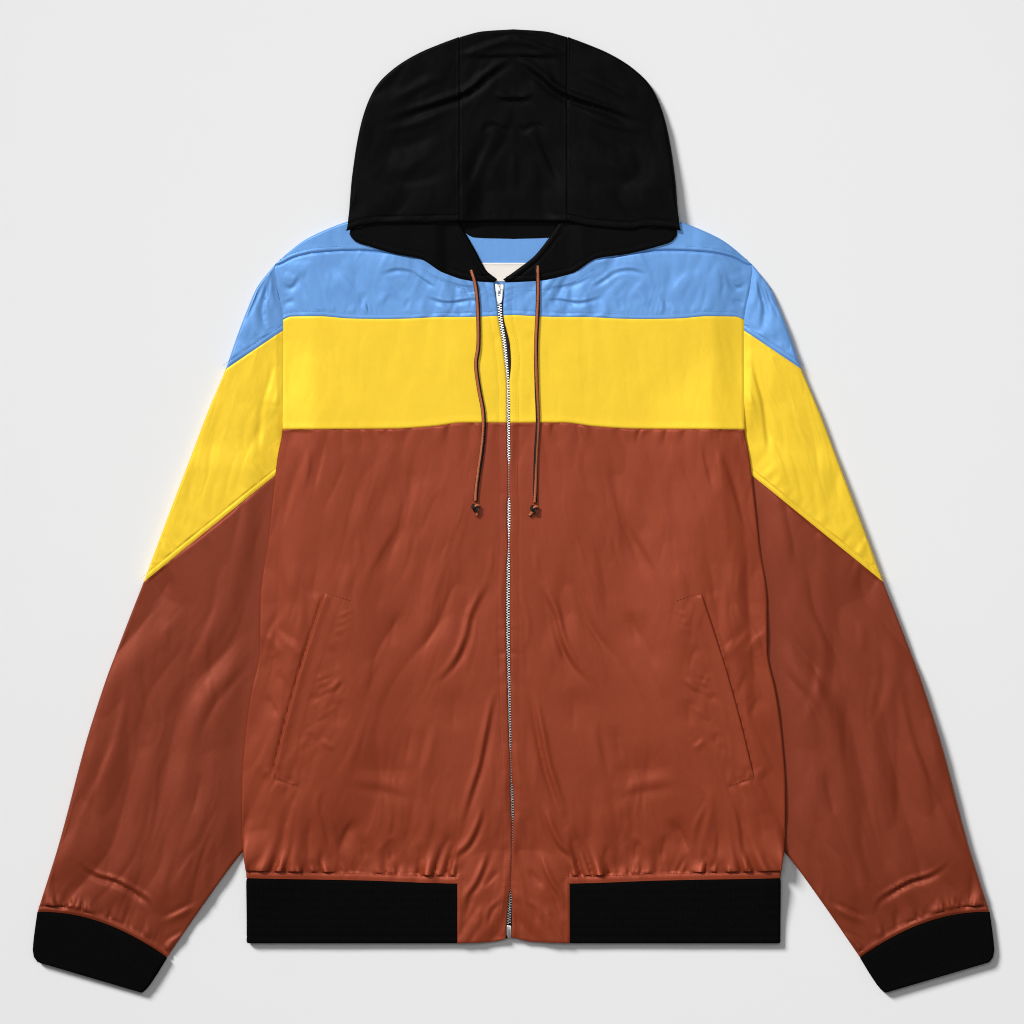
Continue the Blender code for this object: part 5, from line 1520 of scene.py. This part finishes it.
zipper = {
    "top": 208.5,
    "bottom": -401.5,
    "tape": 12.7,
    "tapeZ": 4.0,
    "tapeWall": 0.7,
    "pitch": 2.44,  # between teeth of one side
    "tooth": (1.15, 2.7, 4.9),  # along the zip, underside, top
    "slider": (-13.7, 221.5, 12.0),  # x, top end, length
    "hinge": (-13.7, 215.4, 6.65),
    "box": (-4.4, -414.5, 12.0),
}


def makeTapes():
    width = zipper["tape"]
    along = mix(zipper["bottom"], zipper["top"], stops(610, 3))
    for side, sign in sides.items():
        off, up = np.meshgrid(stops(width, 1.2) * width + 0.2, along, indexing="ij")
        grid = np.stack([zipLine(up) + sign * off, up, zipper["tapeZ"] + ridge(off - 2.2, 0.8, 0.35)], -1)
        cloth(f"zipTape_{side}", grid, zipper["tapeWall"], "tape", "zip_tape", f"zip_tape_{side}")


def makeTeeth():
    # each tooth: a shank on the tape and a rounded head between two heads of the other side, one side prouder
    wide, low, high = zipper["tooth"]
    plan = [(-1.7, -1), (0.3, -1), (0.9, -0.7), (1.1, 0), (0.9, 0.7), (0.3, 1), (-1.7, 1)]
    plan = np.array(plan) * (0.85, wide / 2)
    soft = plan * (0.9, 0.75) + (-0.1, 0)
    n = len(plan)
    shape = [[*range(n)][::-1], [*range(2 * n, 3 * n)]]
    for ring in (0, n):
        shape += [[ring + i, ring + (i + 1) % n, ring + n + (i + 1) % n, ring + n + i] for i in range(n)]
    for side, sign in sides.items():
        # the right's heads lie under the left's
        crest, back = (high + 0.35, 0.0) if sign > 0 else (high - 0.4, 1.1)
        template = [(a - back, b, z) for outline, z in ((plan, low), (plan, crest - 0.35), (soft, crest))
                    for a, b in outline]
        points, faces = [], []
        first = zipper["bottom"] + 0.6 + (0 if sign < 0 else zipper["pitch"] / 2)
        for up in np.arange(first, zipper["top"] + 6.5, zipper["pitch"]):
            x, lean, base = zipLine(up), (zipLine(up + 1) - zipLine(up - 1)) / 2, len(points)
            points += [(x - sign * a + lean * b, up + b + lean * sign * a, z) for a, b, z in template]
            faces += [[base + i for i in face][::-sign] for face in shape]
        wear(plainMesh(f"zipTeeth_{side}", points, faces, sharp=30), "teeth", "zip_metal")


def shifted(outline, x, up):
    return [(x + a, up + b) for a, b in outline]


def mirrored(half):
    # a half outline and its mirror image
    return half + [(-a, b) for a, b in half[::-1]]


def rounded(made, width, segments=3):
    bevel = made.modifiers.new("rounding", "BEVEL")
    bevel.width, bevel.segments, bevel.limit_method = width * mm, segments, "ANGLE"
    return made


def plate(name, outline, low, high, bevel, holes=()):
    # a flat part cut to an outline, with rounded edges
    n = len(outline)
    points = [(*p, low) for p in outline] + [(*p, high) for p in outline]
    faces = [[i, (i + 1) % n, (i + 1) % n + n, i + n] for i in range(n)]
    if not holes:
        faces += [[*range(n)][::-1], [*range(n, 2 * n)]]
    else:
        base = len(points)
        points += [(*p, low) for p in holes] + [(*p, high) for p in holes]
        for i in range(n):
            j = (i + 1) % n
            faces.append([base + i, base + i + n, base + j + n, base + j])
            faces.append([i, base + i, base + j, j])
            faces.append([i + n, j + n, base + j + n, base + i + n])
    return rounded(plainMesh(name, points, faces), bevel)


def joined(name, pieces):
    # one object from several, with their modifiers applied
    graph = bpy.context.evaluated_depsgraph_get()
    points, faces = [], []
    for piece in pieces:
        mesh = piece.evaluated_get(graph).to_mesh()
        base = len(points)
        points += [tuple(v.co / mm) for v in mesh.vertices]
        faces += [[base + i for i in face.vertices] for face in mesh.polygons]
    for piece in pieces:
        bpy.data.objects.remove(piece, do_unlink=True)
    return plainMesh(name, points, faces, sharp=35)


def makeBridge(x, centre):
    # the arch over the slider, on which the tab hangs
    width = 1.0  # to each side of the slider's middle
    arch = [(centre + math.cos(turn) * reach, 5.3 + math.sin(turn) ** 0.55 * rise)
            for reach, rise in ((4.1, 3.5), (3.0, 2.5)) for turn in np.linspace(0, math.pi, 13)]
    count = len(arch) // 2
    points = [(x + s * width, up, z) for s in (-1, 1) for up, z in arch]
    faces = []
    for i in range(count - 1):
        a, b, c, d = i, i + 1, i + 1 + count, i + count
        faces += [[a, b, c, d], [a + 2 * count, d + 2 * count, c + 2 * count, b + 2 * count],
                  [a, a + 2 * count, b + 2 * count, b], [d, c, c + 2 * count, d + 2 * count]]
    faces += [[0, count, 3 * count, 2 * count], [count - 1, 3 * count - 1, 4 * count - 1, 2 * count - 1]]
    return rounded(plainMesh("bridge", points, faces), 0.3, 2)


def makeSlider():
    x, top, length = zipper["slider"]
    shield = mirrored([(-3.0, 0), (-4.3, -0.7), (-4.5, -2.4), (-4.1, -6), (-3.3, -length + 0.6),
                       (-2.7, -length)])
    shield = shifted(shield + [(1.2, -0.9), (-1.2, -0.9)], x, top)
    parts = [plate("lowerPlate", shield, 1.8, 3.0, 0.3), plate("upperPlate", shield, 4.4, 5.6, 0.4)]
    diamond = shifted([(-0.7, -4.6), (0.7, -4.6), (1.3, -1.6), (-1.3, -1.6)], x, top)
    parts.append(plate("neck", diamond, 2.9, 4.5, 0.1))
    for sign in sides.values():
        rail = [(4.4, -2), (3.6, -2.2), (2.6, -length + 0.4), (3.2, -length + 0.2)][::-sign]
        parts.append(plate("rail", shifted([(sign * a, b) for a, b in rail], x, top), 3.7, 4.6, 0.15))
    parts.append(makeBridge(x, top - 6.1))
    wear(joined("zipSlider", parts), "metal", "zip_metal", "zip_slider")


def makePull():
    x, up, z = zipper["hinge"]
    outer = mirrored([(-2.9, 0.7), (-3.2, 0.2), (-3.2, -3.0), (-3.1, -7.0), (-2.7, -11.0), (-2.2, -12.7),
                      (-1.2, -13.2)])
    slot = mirrored([(-1.4, -0.7), (-1.5, -1.0), (-1.5, -2.6), (-1.5, -4.4), (-1.3, -5.4), (-0.9, -6.0),
                     (-0.4, -6.3)])
    tab = plate("zipPullTab", shifted(outer, x, up), z - 0.6, z + 0.6, 0.28, holes=shifted(slot, x, up))
    wear(joined("zipPullTab", [tab]), "metal", "zip_metal", "zip_pull", body="pull")


def makeBox():
    x, bottom, length = zipper["box"]
    outline = [(-1.2, 0), (1.2, 0), (2.2, 1.6), (2.6, 3.4), (2.5, length - 1), (1.9, length), (-1.9, length),
               (-2.5, length - 1), (-2.6, 3.4), (-2.2, 1.6)]
    shell = plate("boxShell", shifted(outline, x, bottom), 2.9, 5.4, 0.6)
    ridgeLine = [(-0.5, 2), (0.5, 2), (0.5, length - 1.5), (-0.5, length - 1.5)]
    middle = plate("boxRidge", shifted(ridgeLine, x, bottom), 5.2, 5.9, 0.3)
    wear(joined("zipBox", [shell, middle]), "metal", "zip_metal", "zip_box")


makeTapes()
makeTeeth()
makeSlider()
makePull()
makeBox()
print("jacket: zip made")

# Stitching

stitch = {"pitch": 3.1, "length": 2.3, "width": 0.42, "height": 0.30}


def stitchesAlong(route, top, offset=0.0):
    # places, directions and slopes of stitches on a route of plan places
    route = smoothRoute(route, stitch["pitch"])
    middle = (route[1:] + route[:-1]) / 2
    run = np.diff(route, axis=0)
    run /= np.linalg.norm(run, axis=1)[:, None]
    ends = [middle + run * stitch["length"] / 2 * s for s in (-1, 1)]
    heights = [top(end[:, 0], end[:, 1]) for end in ends]
    centre = top(middle[:, 0], middle[:, 1])
    return middle, run, np.maximum(centre, (heights[0] + heights[1]) / 2) + offset, heights[1] - heights[0]


def makeStitches(name, finish, slot, runs, under=False):
    # each stitch is a short bar, thickest in its middle, between two points
    half, thin, tall = stitch["length"] / 2, stitch["width"] / 2, stitch["height"]
    way = -1 if under else 1
    template = [(-half, 0, 0)]
    for along, size in ((-half * 0.7, 0.8), (0, 1), (half * 0.7, 0.8)):
        ring = ((0, tall), (thin, 0), (0, -tall * 0.5), (-thin, 0))
        template += [(along, side * size, lift * size * way) for side, lift in ring]
    along, side, lift = np.array([*template, (half, 0, 0)]).T
    faces = [[0, 1 + (k + 1) % 4, 1 + k] for k in range(4)] + [[13, 9 + k, 9 + (k + 1) % 4] for k in range(4)]
    faces += [[r + k, r + (k + 1) % 4, r + 4 + (k + 1) % 4, r + 4 + k] for r in (1, 5) for k in range(4)]
    points = []
    for middle, run, z, slope in runs:
        for (x, up), (dx, dy), height, tilt in zip(middle, run, z, slope):
            high = height + lift + along * tilt / stitch["length"]
            points.append(np.column_stack([x + along * dx - side * dy, up + along * dy + side * dx, high]))
    listed = [[i + k * len(along) for i in face][::way] for k in range(len(points)) for face in faces]
    return wear(plainMesh(name, np.concatenate(points), listed, sharp=60), finish, slot)


# beside the pocket's opening, and across its two ends: share down it and distance from it, then height
pocketStitches = [
    ((0.02, 2.4), (0.98, 2.4), 0.85),
    ((0.0, 1.0), (0.0, 26.0), 0.3),
    ((1.0, 1.0), (1.0, 26.0), 0.3),
]


def makeAllStitches():
    blue, yellow, brown, black = [], [], [], []
    for sign in sides.values():
        across = np.linspace(257, 49.5, 40)
        brown.append(stitchesAlong(lineOf(sign * across, hemStitch(across)), frontTop, 0.05))
        tabEdge = lineOf(sign * (body["tabHalf"] - sewn["tab"]), np.linspace(-417, -352, 12))
        brown.append(stitchesAlong(tabEdge, frontTop, 0.05))
        for low, high, runs in ((-413, 85, brown), (88, 189, yellow), (192, 219, blue)):
            up = np.linspace(low, high, max(6, round((high - low) / 8)))
            runs.append(stitchesAlong(lineOf(frontEdge(sign, up) + sign * sewn["zip"], up), frontTop))
        for seam, first, last, count in ((yokeLine, 221, 20, 30), (shoulderSeam, 228, 96, 20)):
            across = np.linspace(first, last, count)
            blue.append(stitchesAlong(lineOf(sign * across, seam(across) + sewn["panel"]), frontTop))
        x = np.linspace(-88, -27, 10) if sign < 0 else np.linspace(79, 4, 12)
        blue.append(stitchesAlong(lineOf(x, neckEdge[sign](x) - sewn["collar"]), frontTop))
        for start, end, lift in pocketStitches:
            down, inward = [np.linspace(*ends, 12) for ends in zip(start, end)]
            inward -= pocket["bow"] * np.sin(np.pi * down)
            place = pocketTop + pocketRun * down[:, None] + towardsZip * inward[:, None]
            brown.append(stitchesAlong(place * (sign, 1), frontTop, lift))
        straight = np.linspace(0, 1, 24)[:, None]
        for route, runs, off in (
                (mix(*yellowSeam, straight), yellow, "panel"),
                (mix(*blueSeam, straight), blue, "panel"),
                (smoothRoute(cuffSeam, 6), brown, "cuff")):
            route = beside(route, sewn[off]) * (sign, 1)
            keep = np.abs(route[:, 0]) > sideEdge(route[:, 1]) + 2
            runs.append(stitchesAlong(route[keep], sleeveTop))
        for aside in (-sewn["crownSeam"], sewn["crownSeam"]):
            route = lineOf(sign * centreHalf + aside, np.linspace(288, 452, 20))
            black.append(stitchesAlong(route, crownTop))
        face, seam = flapLines(sign)
        for route, off in ((face[:9], -sewn["face"]), (seam[:6], sewn["neck"])):
            black.append(stitchesAlong(beside(smoothRoute(route, 6), off * sign), flapTop))
    x = np.linspace(-158, 158, 50)
    black.append(stitchesAlong(lineOf(x, crownEdge(x) + sewn["crown"]), crownTop))
    for colour, runs in (("blue", blue), ("yellow", yellow), ("brown", brown), ("black", black)):
        makeStitches(f"stitches_{colour}", f"thread{colour.capitalize()}", f"shell_{colour}", runs)
    x = np.linspace(-250, 250, 60)
    behind = stitchesAlong(lineOf(x, hemTop(np.abs(x)) + sewn["hem"]), backUnder)
    makeStitches("stitches_backBrown", "threadBrown", "shell_brown", [behind], under=True)
    x = np.linspace(*label["x"], 8)
    makeStitches("stitches_label", "label", "label_cream",
                 [stitchesAlong(lineOf(x, up), labelTop) for up in label["stitches"]])


makeAllStitches()
print("jacket: stitched")

total = sum(len(face.vertices) - 2 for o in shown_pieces() if o.type == "MESH" for face in o.data.polygons)
print(f"jacket: {total} triangles")
